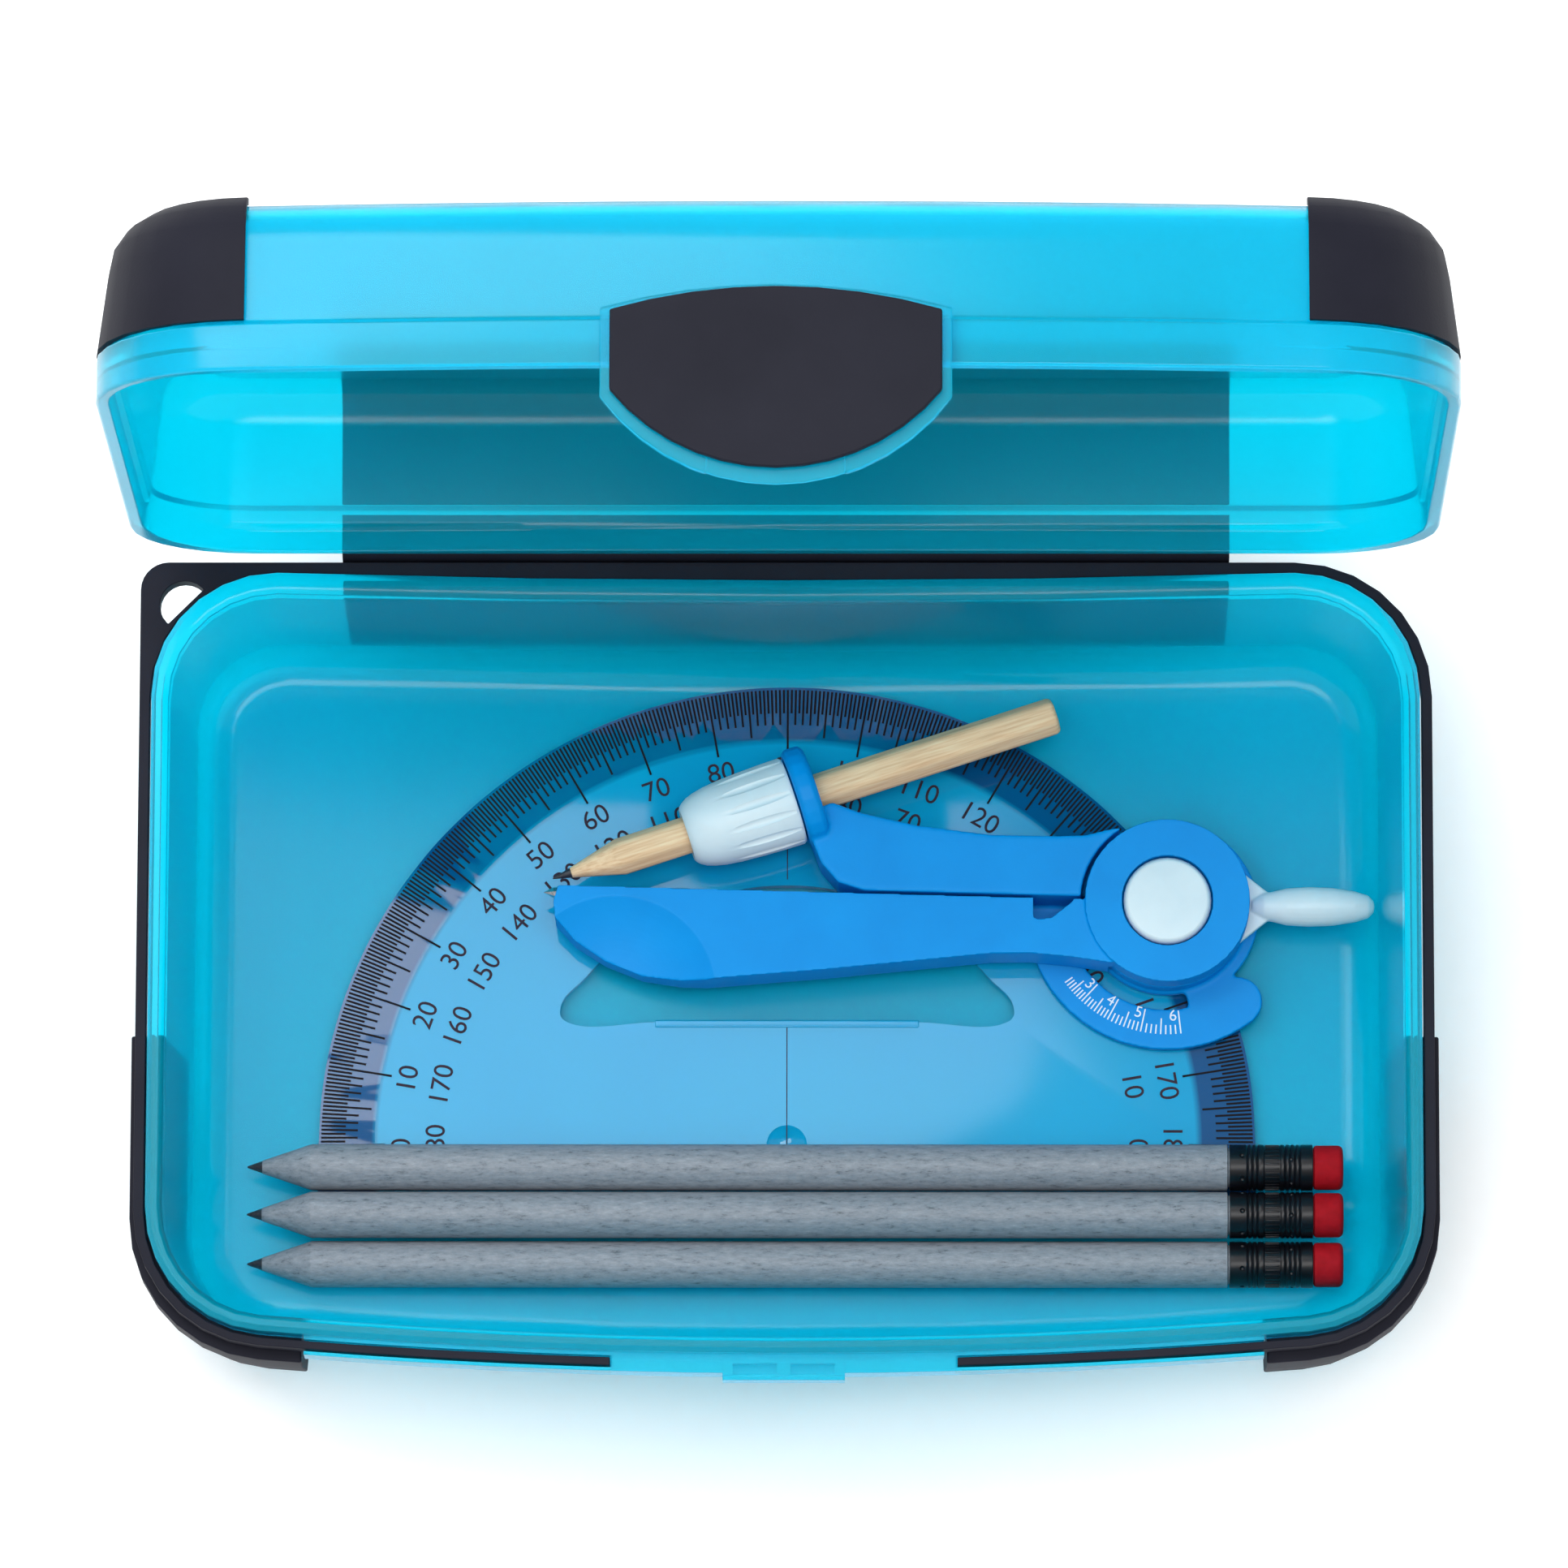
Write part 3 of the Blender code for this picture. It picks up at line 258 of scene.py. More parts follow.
def finishPiece(piece, material, body, replaced=(), angle=35):
    selectOnly(piece)
    bpy.ops.object.shade_smooth_by_angle(angle=math.radians(angle))
    applyModifier(piece, "WEIGHTED_NORMAL", keep_sharp=True)
    piece.data.materials.clear()
    piece.data.materials.append(material)
    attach(piece, body)
    if replaced:
        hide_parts(*replaced)
    return piece


def smoothCopy(node, name, bevel=0.0, segments=3):
    # the CAD node's own shape, merged, with softened edges
    source = frame["nodes"][node]
    piece = bpy.data.objects.new(name, source.data.copy())
    bpy.context.scene.collection.objects.link(piece)
    editMode(piece)
    bpy.ops.mesh.remove_doubles(threshold=0.002 * mm)
    bpy.ops.mesh.dissolve_limited(angle_limit=math.radians(0.3))
    objectMode()
    if bevel:
        softenEdges(piece, bevel, segments)
    return piece


# materials, each named for what it is and how it was made

def makeAquaPolypropylene():
    # injection-moulded polypropylene, tinted and slightly see-through: bright where light
    # passes, deeper where something dark stands behind it, with faint flow streaks
    material, tree, shader = newMaterial("aqua_moulded_polypropylene")
    place = addNode(tree, "TexCoord").outputs["Object"]
    stretched = addNode(tree, "Mapping", {"Vector": place, "Scale": (1.0, 0.3, 1.0)}).outputs["Vector"]
    flow = addNode(tree, "TexNoise", {
        "Vector": stretched, "Scale": 1 / (22.2 * mm), "Detail": 2.0}).outputs["Fac"]
    addNode(tree, "ValToRGB", {"Fac": flow}, to=shader.inputs["Base Color"],
            stops=[(0.25, "00DAF6"), (0.75, "04DEFA")])
    fine = addNode(tree, "TexNoise", {
        "Vector": place, "Scale": 1 / (1.11 * mm), "Detail": 2.0}).outputs["Fac"]
    addNode(tree, "Bump", {"Height": fine, "Distance": 0.02 * mm, "Strength": 0.25},
            to=shader.inputs["Normal"])
    setShader(shader, Roughness=0.18, IOR=1.33, Specular_IOR_Level=0.3, Transmission_Weight=0.74)
    return material


def makeBlackElastomer():
    # thermoplastic elastomer moulded over the case, matte with a fine spark-eroded grain
    material, tree, shader = newMaterial("black_overmoulded_elastomer")
    place = addNode(tree, "TexCoord").outputs["Object"]
    cloud = addNode(tree, "TexNoise", {
        "Vector": place, "Scale": 1 / (16.7 * mm), "Detail": 6.0}).outputs["Fac"]
    addNode(tree, "ValToRGB", {"Fac": cloud}, to=shader.inputs["Base Color"],
            stops=[(0.3, "171824"), (0.75, "1E1F2B")])
    grain = addNode(tree, "TexNoise", {
        "Vector": place, "Scale": 1 / (0.4 * mm), "Detail": 2.0}).outputs["Fac"]
    addNode(tree, "Bump", {"Height": grain, "Distance": 0.04 * mm, "Strength": 0.5},
            to=shader.inputs["Normal"])
    setShader(shader, Roughness=0.62, IOR=1.5, Specular_IOR_Level=0.16)
    return material


def makeBluePlastic():
    # moulded ABS with a satin, lightly eroded surface
    material, tree, shader = newMaterial("blue_satin_abs")
    place = addNode(tree, "TexCoord").outputs["Object"]
    cloud = addNode(tree, "TexNoise", {
        "Vector": place, "Scale": 1 / (11.1 * mm), "Detail": 4.0}).outputs["Fac"]
    addNode(tree, "ValToRGB", {"Fac": cloud}, to=shader.inputs["Base Color"],
            stops=[(0.3, "008EDC"), (0.75, "0096E4")])
    grain = addNode(tree, "TexNoise", {
        "Vector": place, "Scale": 1 / (0.455 * mm), "Detail": 2.0}).outputs["Fac"]
    addNode(tree, "Bump", {"Height": grain, "Distance": 0.03 * mm, "Strength": 0.4},
            to=shader.inputs["Normal"])
    setShader(shader, Roughness=0.45, IOR=1.5, Specular_IOR_Level=0.15)
    return material


def makeWhitePlastic():
    # moulded white nylon, satin, very slightly cool
    material, tree, shader = newMaterial("white_satin_nylon")
    place = addNode(tree, "TexCoord").outputs["Object"]
    cloud = addNode(tree, "TexNoise", {
        "Vector": place, "Scale": 1 / (8.33 * mm), "Detail": 4.0}).outputs["Fac"]
    addNode(tree, "ValToRGB", {"Fac": cloud}, to=shader.inputs["Base Color"],
            stops=[(0.3, "D2E2E9"), (0.75, "DFECF1")])
    grain = addNode(tree, "TexNoise", {
        "Vector": place, "Scale": 1 / (0.5 * mm), "Detail": 2.0}).outputs["Fac"]
    addNode(tree, "Bump", {"Height": grain, "Distance": 0.02 * mm, "Strength": 0.3},
            to=shader.inputs["Normal"])
    setShader(shader, Roughness=0.4, IOR=1.5)
    return material


def makeClearBlue():
    # polished styrene, tinted blue and slightly milky, with painted shade: the colour is darkened along the
    # sloping graduated edge, where light falls off on the bevel
    material, tree, shader = newMaterial("clear_blue_styrene")
    place = addNode(tree, "TexCoord").outputs["Object"]
    cloud = addNode(tree, "TexNoise", {
        "Vector": place, "Scale": 1 / (33.3 * mm), "Detail": 2.0}).outputs["Fac"]
    body = addNode(tree, "ValToRGB", {"Fac": cloud}, stops=[(0.3, "0CC6FC"), (0.75, "16CCFF")])
    low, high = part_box("protractor")
    flat = addNode(tree, "VectorMath", {0: place, 1: (1, 1, 0)}, operation="MULTIPLY").outputs[0]
    arcCentre = (0, high.y - high.x, 0)
    reach = addNode(tree, "VectorMath", {0: flat, 1: arcCentre}, operation="DISTANCE").outputs["Value"]
    # painted shade: mask that darkens the colour towards the bevelled edge
    edge = addNode(tree, "MapRange", {
        "Value": reach, "From Min": high.x - 9.8 * mm, "From Max": high.x - 8.6 * mm}).outputs["Result"]
    band = addNode(tree, "Mix", {
        0: edge, 6: body.outputs["Color"], 7: linear("0667A6")}, data_type="RGBA")
    tree.links.new(band.outputs[2], shader.inputs["Base Color"])
    setShader(shader, Roughness=0.05, IOR=1.5, Transmission_Weight=0.45)
    return material


def makeNewsprint():
    # wound newsprint under clear varnish: pale grey, mottled along the pencil
    material, tree, shader = newMaterial("rolled_newsprint")
    place = addNode(tree, "TexCoord").outputs["Object"]
    along = addNode(tree, "Mapping", {"Vector": place, "Scale": (0.3, 1.0, 1.0)}).outputs["Vector"]
    mottle = addNode(tree, "TexNoise", {
        "Vector": along, "Scale": 1 / (0.667 * mm), "Detail": 9.0, "Roughness": 0.75}).outputs["Fac"]
    addNode(tree, "ValToRGB", {"Fac": mottle}, to=shader.inputs["Base Color"],
            stops=[(0.34, "535B62"), (0.43, "787F88"), (0.6, "8A9098"), (0.72, "9BA0A8")])
    addNode(tree, "Bump", {"Height": mottle, "Distance": 0.05 * mm, "Strength": 0.4},
            to=shader.inputs["Normal"])
    setShader(shader, Roughness=0.5, IOR=1.48)
    return material


def makeLacqueredFerrule():
    # thin aluminium ferrule in black lacquer, polished
    material, tree, shader = newMaterial("black_lacquered_aluminium")
    place = addNode(tree, "TexCoord").outputs["Object"]
    cloud = addNode(tree, "TexNoise", {
        "Vector": place, "Scale": 1 / (2.5 * mm), "Detail": 4.0}).outputs["Fac"]
    addNode(tree, "ValToRGB", {"Fac": cloud}, to=shader.inputs["Base Color"],
            stops=[(0.3, "08090E"), (0.75, "111219")])
    setShader(shader, Roughness=0.3, IOR=1.5, Specular_IOR_Level=0.3)
    return material


def makeRedRubber():
    # moulded natural rubber, matte with a dusty bloom
    material, tree, shader = newMaterial("red_rubber")
    place = addNode(tree, "TexCoord").outputs["Object"]
    cloud = addNode(tree, "TexNoise", {
        "Vector": place, "Scale": 1 / (1.43 * mm), "Detail": 6.0}).outputs["Fac"]
    addNode(tree, "ValToRGB", {"Fac": cloud}, to=shader.inputs["Base Color"],
            stops=[(0.3, "980816"), (0.75, "AE101E")])
    addNode(tree, "Bump", {"Height": cloud, "Distance": 0.04 * mm, "Strength": 0.5},
            to=shader.inputs["Normal"])
    setShader(shader, Roughness=0.75, IOR=1.5, Specular_IOR_Level=0.15)
    return material


def makeGraphite():
    # sharpened graphite with a soft metallic sheen and turning marks
    material, tree, shader = newMaterial("sharpened_graphite")
    place = addNode(tree, "TexCoord").outputs["Object"]
    marks = addNode(tree, "TexNoise", {
        "Vector": place, "Scale": 1 / (0.4 * mm), "Detail": 3.0}).outputs["Fac"]
    addNode(tree, "ValToRGB", {"Fac": marks}, to=shader.inputs["Base Color"],
            stops=[(0.3, "2A2A30"), (0.75, "43444C")])
    addNode(tree, "Bump", {"Height": marks, "Distance": 0.03 * mm, "Strength": 0.5},
            to=shader.inputs["Normal"])
    setShader(shader, Roughness=0.4, Metallic=0.3)
    return material


def makeBareWood():
    # straight-grained bare basswood, sanded
    material, tree, shader = newMaterial("bare_basswood")
    place = addNode(tree, "TexCoord").outputs["Object"]
    turned = addNode(tree, "Mapping", {
        "Vector": place, "Rotation": (0, 0, math.radians(18.4)), "Scale": (18.0, 1.0, 1.0)},
        vector_type="TEXTURE").outputs["Vector"]
    grain = addNode(tree, "TexNoise", {
        "Vector": turned, "Scale": 1 / (0.385 * mm), "Detail": 7.0}).outputs["Fac"]
    addNode(tree, "ValToRGB", {"Fac": grain}, to=shader.inputs["Base Color"],
            stops=[(0.3, "DBB086"), (0.5, "EBC69C"), (0.72, "F4D8B0")])
    addNode(tree, "Bump", {"Height": grain, "Distance": 0.04 * mm, "Strength": 0.4},
            to=shader.inputs["Normal"])
    setShader(shader, Roughness=0.6, IOR=1.5)
    return material


def makeGroundSteel():
    # bright steel wire ground to a point
    material, tree, shader = newMaterial("ground_steel")
    place = addNode(tree, "TexCoord").outputs["Object"]
    marks = addNode(tree, "TexNoise", {
        "Vector": place, "Scale": 1 / (0.333 * mm), "Detail": 2.0}).outputs["Fac"]
    addNode(tree, "ValToRGB", {"Fac": marks}, to=shader.inputs["Base Color"],
            stops=[(0.3, "AEB2B6"), (0.75, "CFD3D6")])
    setShader(shader, Roughness=0.22, Metallic=1.0)
    return material


def makeInk(name, dark, light):
    # screen-printed ink, slightly uneven in its cover
    material, tree, shader = newMaterial(name)
    place = addNode(tree, "TexCoord").outputs["Object"]
    cover = addNode(tree, "TexNoise", {
        "Vector": place, "Scale": 1 / (1.11 * mm), "Detail": 3.0}).outputs["Fac"]
    addNode(tree, "ValToRGB", {"Fac": cover}, to=shader.inputs["Base Color"],
            stops=[(0.3, dark), (0.75, light)])
    setShader(shader, Roughness=0.75, IOR=1.5, Specular_IOR_Level=0.25)
    return material


aqua = makeAquaPolypropylene()
blackRubber = makeBlackElastomer()
bluePlastic = makeBluePlastic()
whitePlastic = makeWhitePlastic()
clearBlue = makeClearBlue()
newsprint = makeNewsprint()
ferruleBlack = makeLacqueredFerrule()
redRubber = makeRedRubber()
graphite = makeGraphite()
bareWood = makeBareWood()
steel = makeGroundSteel()
darkInk = makeInk("black_printing_ink", "050810", "0C101C")
figureInk = makeInk("brown_black_printing_ink", "2A2230", "3A2E3C")
whiteInk = makeInk("white_printing_ink", "DDEBF5", "F2F8FC")
print("materials made")

slotMaterials = {
    "aqua_plastic": aqua,
    "black_elastomer": blackRubber,
    "compass_blue": bluePlastic,
    "white_plastic": whitePlastic,
    "clear_blue": clearBlue,
    "newsprint": newsprint,
    "black_crimped_metal": ferruleBlack,
    "red_eraser": redRubber,
    "graphite": graphite,
    "bare_wood": bareWood,
    "steel": steel,
}
slotOfNode = {part["node"]: part["material_slot"] for part in frame["record"]["subparts"]}
bodyOfNode = {
    node: body for body, nodes in frame["record"]["behaviour"]["bodies"].items() for node in nodes
}
jointOf = {joint["name"]: joint for joint in frame["joints"]}
for node, piece in frame["nodes"].items():
    piece.data.materials.clear()
    piece.data.materials.append(slotMaterials[slotOfNode[node]])


# case shells and their soft covers

def dressNode(node, bevel=0.0, segments=3):
    # the node's own shape with softened edges stands in for it
    piece = smoothCopy(node, node + "_skin", bevel, segments)
    return finishPiece(piece, slotMaterials[slotOfNode[node]], bodyOfNode[node], (node,))


case = {
    "shellEdge": 0.25 * mm,
    "coverEdge": 0.35 * mm,
    "latchEdge": 0.3 * mm,
    "webStart": (0, 66.6 * mm, 38.8 * mm),      # the web's edge on the base
    "webEnd": (0, 70 * mm, 40.7 * mm),          # and on the lid
}


def makeCase():
    for node in ("base_tub", "lid_shell"):
        dressNode(node, case["shellEdge"], 2)
    for node in ("rim_frame", "base_bumper_left", "base_bumper_right", "base_hinge_panel",
                 "lid_hinge_panel", "lid_corner_cap_left", "lid_corner_cap_right"):
        dressNode(node, case["coverEdge"])
    for node in ("latch_tab", "latch_grip"):
        dressNode(node, case["latchEdge"])
    web = smoothCopy("hinge_web", "hinge_web_skin")
    selectOnly(web)
    bpy.ops.object.shade_smooth_by_angle(angle=math.radians(35))
    web.data.materials.clear()
    web.data.materials.append(blackRubber)
    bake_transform(web)
    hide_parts("hinge_web")


protractor = {
    "bar": 12.0 * mm,           # straight part below the base line
    "windowRadius": 43.0 * mm,
    "windowBase": 20.3 * mm,    # from the base line up to the window
    "windowCorner": 1.6 * mm,
    "bevelWidth": 9.2 * mm,
    "bevelDrop": 0.9 * mm,
    "dimpleRadius": 3.3 * mm,
    "dimpleDepth": 1.2 * mm,
    "plateCorner": 2.0 * mm,
    "lipHalf": 21.5 * mm,       # half the finger lip's length
    "lipBack": 0.9 * mm,
    "lipFront": 0.35 * mm,
    "lipLow": 1.2 * mm,         # under the plate's top
    "lipHigh": 0.2 * mm,        # over it
    "inkHeight": 0.03 * mm,
    "inkLift": 0.02 * mm,
    "lineWidth": 0.16 * mm,
    "baseLine": 96 * mm,
    "centreLine": 18 * mm,      # the short line over the window
    "tickWidth": 0.34 * mm,
    "tickLengths": (4.0 * mm, 6.0 * mm, 8.0 * mm, 10.5 * mm),
    "digitHeight": 4.6 * mm,
    "outerDigits": 62.6 * mm,
    "innerDigits": 57.0 * mm,
}


def makeProtractor():
    p = protractor
    low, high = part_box("protractor")
    centre = Vector((0, low.y + p["bar"], 0))
    radius = high.x
    top = high.z

    arcPoints = [(radius * math.cos(a), radius * math.sin(a), "AUTO")
                 for a in [math.pi * i / 24 for i in range(25)]]
    arcPoints[0] = (radius, 0, "VECTOR")
    arcPoints[-1] = (-radius, 0, "VECTOR")
    corner, bar = p["plateCorner"], p["bar"]
    outline = arcPoints + [
        (-radius, corner - bar, "VECTOR"), (corner - radius, -bar, "VECTOR"),
        (radius - corner, -bar, "VECTOR"), (radius, corner - bar, "VECTOR")]
    lean = math.asin((p["windowBase"] + p["windowCorner"]) / p["windowRadius"])
    side = p["windowRadius"] * math.cos(lean)
    window = [(p["windowRadius"] * math.cos(a), p["windowRadius"] * math.sin(a), "AUTO")
              for a in [lean + (math.pi - 2 * lean) * i / 12 for i in range(13)]]
    foot, base = side - 1.2 * mm, p["windowBase"]
    window += [(-foot, base, "AUTO"), (-p["lipHalf"], base, "VECTOR"),
               (p["lipHalf"], base, "VECTOR"), (foot, base, "AUTO")]
    plate = outlineSolid("protractor_plate", [outline, window], low.z, top)
    placeMesh(plate, centre)

    # the graduated edge slopes down to a thinner rim
    inner, outer = radius - p["bevelWidth"], radius + p["bevelWidth"] * 0.2
    slope = turnProfile("edge_slope", [
        (top, inner), (top - p["bevelDrop"] * 1.2, outer), (top + mm, outer), (top + mm, inner)],
        steps=96, axis="Z", sweep=math.pi, start=-math.pi / 2, closed=True)
    placeMesh(slope, centre)
    carve(plate, slope)
    depth, rim = p["dimpleDepth"], p["dimpleRadius"]
    ball = (rim ** 2 + depth ** 2) / (2 * depth)
    bpy.ops.object.select_all(action="DESELECT")
    bpy.ops.mesh.primitive_uv_sphere_add(
        segments=64, ring_count=48, radius=ball, location=centre + Vector((0, 0, top + ball - depth)))
    carve(plate, bpy.context.active_object)
    softenEdges(plate, 0.2 * mm, 2, 30)
    finishPiece(plate, clearBlue, "protractor", ("protractor",), 20)

    lip = outlineSolid("protractor_finger_lip", [[
        (-p["lipHalf"], -p["lipBack"], "VECTOR"), (p["lipHalf"], -p["lipBack"], "VECTOR"),
        (p["lipHalf"], p["lipFront"], "VECTOR"), (-p["lipHalf"], p["lipFront"], "VECTOR")]],
        top - p["lipLow"], top + p["lipHigh"])
    placeMesh(lip, centre + Vector((0, base, 0)))
    softenEdges(lip, 0.25 * mm, 3, 30)
    finishPiece(lip, clearBlue, "protractor")

    # graduation: every half degree, longer at each whole, fifth and tenth degree
    drop = math.atan2(p["bevelDrop"], p["bevelWidth"])
    marks = []
    for length in p["tickLengths"]:
        reach = radius - 0.4 * mm - length / 2
        height = top - p["bevelDrop"] * (reach - inner) / p["bevelWidth"]
        tick = addBlock((length, p["tickWidth"], p["inkHeight"]))
        marks.append(placeMesh(tick, (reach, 0, height + p["inkLift"]), drop, "Y"))
    ticks = []
    for half in range(361):
        degree = half / 2
        kind = 3 if degree % 10 == 0 else 2 if degree % 5 == 0 else 1 if degree % 1 == 0 else 0
        tick = copyPiece(marks[kind], "tick")
        ticks.append(placeMesh(tick, centre, math.radians(degree)))
    for mark in marks:
        bpy.data.objects.remove(mark)
    printed = joinPieces("protractor_graduation", ticks)
    finishPiece(printed, darkInk, "protractor")

    # figures run both ways round, with the base line and the centre line
    figures = []
    for tens in range(19):
        angle = math.pi - math.radians(10 * tens)
        turn = angle - math.pi / 2
        for value, reach in ((10 * tens, p["outerDigits"]), (180 - 10 * tens, p["innerDigits"])):
            place = centre + Vector((reach * math.cos(angle), reach * math.sin(angle), top + 0.005 * mm))
            figures.append(writeFigure(str(value), p["digitHeight"], place, turn))
    line = p["lineWidth"]
    underWindow = base - 0.6 * mm
    for wide, long, along in (
            (p["baseLine"], line, 0), (line, underWindow, underWindow / 2),
            (line, p["centreLine"], p["windowRadius"] + 10 * mm)):
        rule = addBlock((wide, long, p["inkHeight"]))
        figures.append(placeMesh(rule, centre + Vector((0, along, top + p["inkLift"]))))
    finishPiece(joinPieces("protractor_figures", figures), figureInk, "protractor")


pencil = {
    "coneLength": 8.0 * mm,
    "coreBare": 2.5 * mm,
    "coreRadius": 1.0 * mm,
    "ferruleRings": (2.9, 3.7, 4.5, 9.0, 9.8, 10.6, 11.4),    # mm from the ferrule's front
    "knurl": (5.5 * mm, 8.3 * mm),
    "knurlDepth": 0.18 * mm,
    "knurlRibs": 30,
    "ribSize": (2.3 * mm, 0.3 * mm, 0.22 * mm),
    "ribSink": 0.16 * mm,
    "crimps": (2.0, 9.9),
    "crimpRadius": 0.5 * mm,
    "crimpLift": 0.22 * mm,
    "wall": 0.5 * mm,
    "plugStep": 0.6 * mm,       # how far the shaft is turned down inside the ferrule
    "eraserRound": 0.9 * mm,
}


def makePencil(number):
    p = pencil
    name = f"pencil_{number}"
    shaftLow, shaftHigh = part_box(name + "_shaft")
    ferruleLow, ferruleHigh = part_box(name + "_ferrule")
    eraserLow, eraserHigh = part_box(name + "_eraser")
    axis = Vector((0, (shaftLow.y + shaftHigh.y) / 2, (shaftLow.z + shaftHigh.z) / 2))
    radius = (shaftHigh.z - shaftLow.z) / 2
    plug = radius - p["plugStep"]
    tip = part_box(name + "_core")[0].x
    coneFront, coneBack = tip + p["coreBare"], tip + p["coreBare"] + p["coneLength"]

    shaft = turnProfile(name + "_paper_shaft", [
        (coneFront, 0), (coneFront, p["coreRadius"] + 0.05 * mm), (coneBack - 0.2 * mm, radius - 0.07 * mm),
        (coneBack + 0.15 * mm, radius), (ferruleLow.x - 0.4 * mm, radius), (ferruleLow.x - 0.2 * mm, plug),
        (shaftHigh.x, plug), (shaftHigh.x, 0)], steps=72)
    placeMesh(shaft, axis)
    finishPiece(shaft, newsprint, name, (name + "_shaft",), 15)

    core = turnProfile(name + "_graphite_tip", [
        (tip, 0), (tip + 0.12 * mm, 0.16 * mm), (coneFront - 0.1 * mm, p["coreRadius"] * 0.96),
        (coneFront - 0.02 * mm, p["coreRadius"]), (coneFront - 0.02 * mm, 0)], steps=32)
    placeMesh(core, axis)
    finishPiece(core, graphite, name, (name + "_core",), 25)

    # the ferrule: rolled rings, a band of ribs, and crimps that hold the eraser
    front, back = ferruleLow.x, ferruleHigh.x
    inside, sunk = radius - p["wall"], radius - p["knurlDepth"]
    knurlFront, knurlBack = front + p["knurl"][0], front + p["knurl"][1]
    knurl = [(knurlFront, radius), (knurlFront + 0.1 * mm, sunk),
             (knurlBack - 0.1 * mm, sunk), (knurlBack, radius)]
    profile = [(front, inside), (front, radius - 0.05 * mm), (front + 0.15 * mm, radius)]
    for ring in p["ferruleRings"]:
        at = front + ring * mm
        if at > knurlBack:
            profile += knurl
            knurl = []
        profile += [(at - 0.2 * mm, radius), (at, radius - 0.22 * mm), (at + 0.2 * mm, radius)]
    profile += [(back - 0.15 * mm, radius), (back, radius - 0.05 * mm), (back, inside)]
    ferrule = turnProfile(name + "_crimped_ferrule", profile, steps=72, closed=True)
    softenEdges(ferrule, 0.06 * mm, 2, 25)
    dents = []
    for at in p["crimps"]:
        bpy.ops.object.select_all(action="DESELECT")
        bpy.ops.mesh.primitive_uv_sphere_add(segments=16, ring_count=10, radius=p["crimpRadius"])
        dent = placeMesh(bpy.context.active_object, (front + at * mm, 0, radius + p["crimpLift"]))
        dents += ringOf(dent, 6, math.radians(20 * number + at * 9))
    carve(ferrule, joinPieces("dents", dents))
    rib = addBlock(p["ribSize"])
    softenEdges(rib, 0.08 * mm, 2, 30)
    placeMesh(rib, ((knurlFront + knurlBack) / 2, 0, radius - p["ribSink"]))
    ferrule = joinPieces(name + "_crimped_ferrule", [ferrule] + ringOf(rib, p["knurlRibs"]))
    placeMesh(ferrule, axis)
    finishPiece(ferrule, ferruleBlack, name, (name + "_ferrule",), 40)

    grip = (eraserHigh.z - eraserLow.z) / 2
    end, roundness = eraserHigh.x, p["eraserRound"]
    profile = [(eraserLow.x, 0), (eraserLow.x, plug), (back + 0.1 * mm, plug),
               (back + 0.25 * mm, grip - 0.15 * mm), (back + 0.6 * mm, grip)]
    profile += [(end - roundness + roundness * math.sin(a), grip - roundness + roundness * math.cos(a))
                for a in [math.pi / 12 * i for i in range(7)]]
    profile.append((end, 0))
    eraser = turnProfile(name + "_rubber", profile, steps=64)
    placeMesh(eraser, axis)
    finishPiece(eraser, redRubber, name, (name + "_eraser",), 40)


compass = {
    "legDrop": 0.6 * mm,            # from the head's top down to the legs' top
    "legGrain": (0.2 * mm, 0.3 * mm),   # how finely each leg is melted together
    "gripGrain": 0.22 * mm,
    "capEdge": 0.3 * mm,
    "facetPlace": (-89.5 * mm, -15.5 * mm),
    "facetRadius": 16.3 * mm,
    "facetDepth": 4.2 * mm,
    "facetSteps": 14,
    "scaleTop": 1.6 * mm,           # the scale plate's thickness
    "scaleReach": 20.3 * mm,
    "scaleTurns": {2: 213.8, 3: 227.0, 4: 241.6, 5: 257.8, 6: 276.5},
    "tickLengths": (1.5 * mm, 2.6 * mm, 3.8 * mm),
    "tickWidth": 0.22 * mm,
    "digitHeight": 2.6 * mm,
    "digitReach": 17.3 * mm,
    "digitTurn": 3.2,               # degrees that a figure stands before its tick
    "inkHeight": 0.04 * mm,
    "needleAside": 1.4 * mm,        # the ground point stands beside and over the wire's middle
    "needleLift": 1.0 * mm,
}
head = Vector(jointOf["compass_legs"]["pos_m"])
head.z = 0
woodAxis = Vector(jointOf["wood_pencil_slide"]["axis"]).normalized()
woodTip = Vector(jointOf["clamp_nut_turn"]["pos_m"])
woodTurn = math.atan2(woodAxis.y, woodAxis.x)


def onWoodAxis(piece):
    return placeMesh(piece, woodTip, woodTurn)


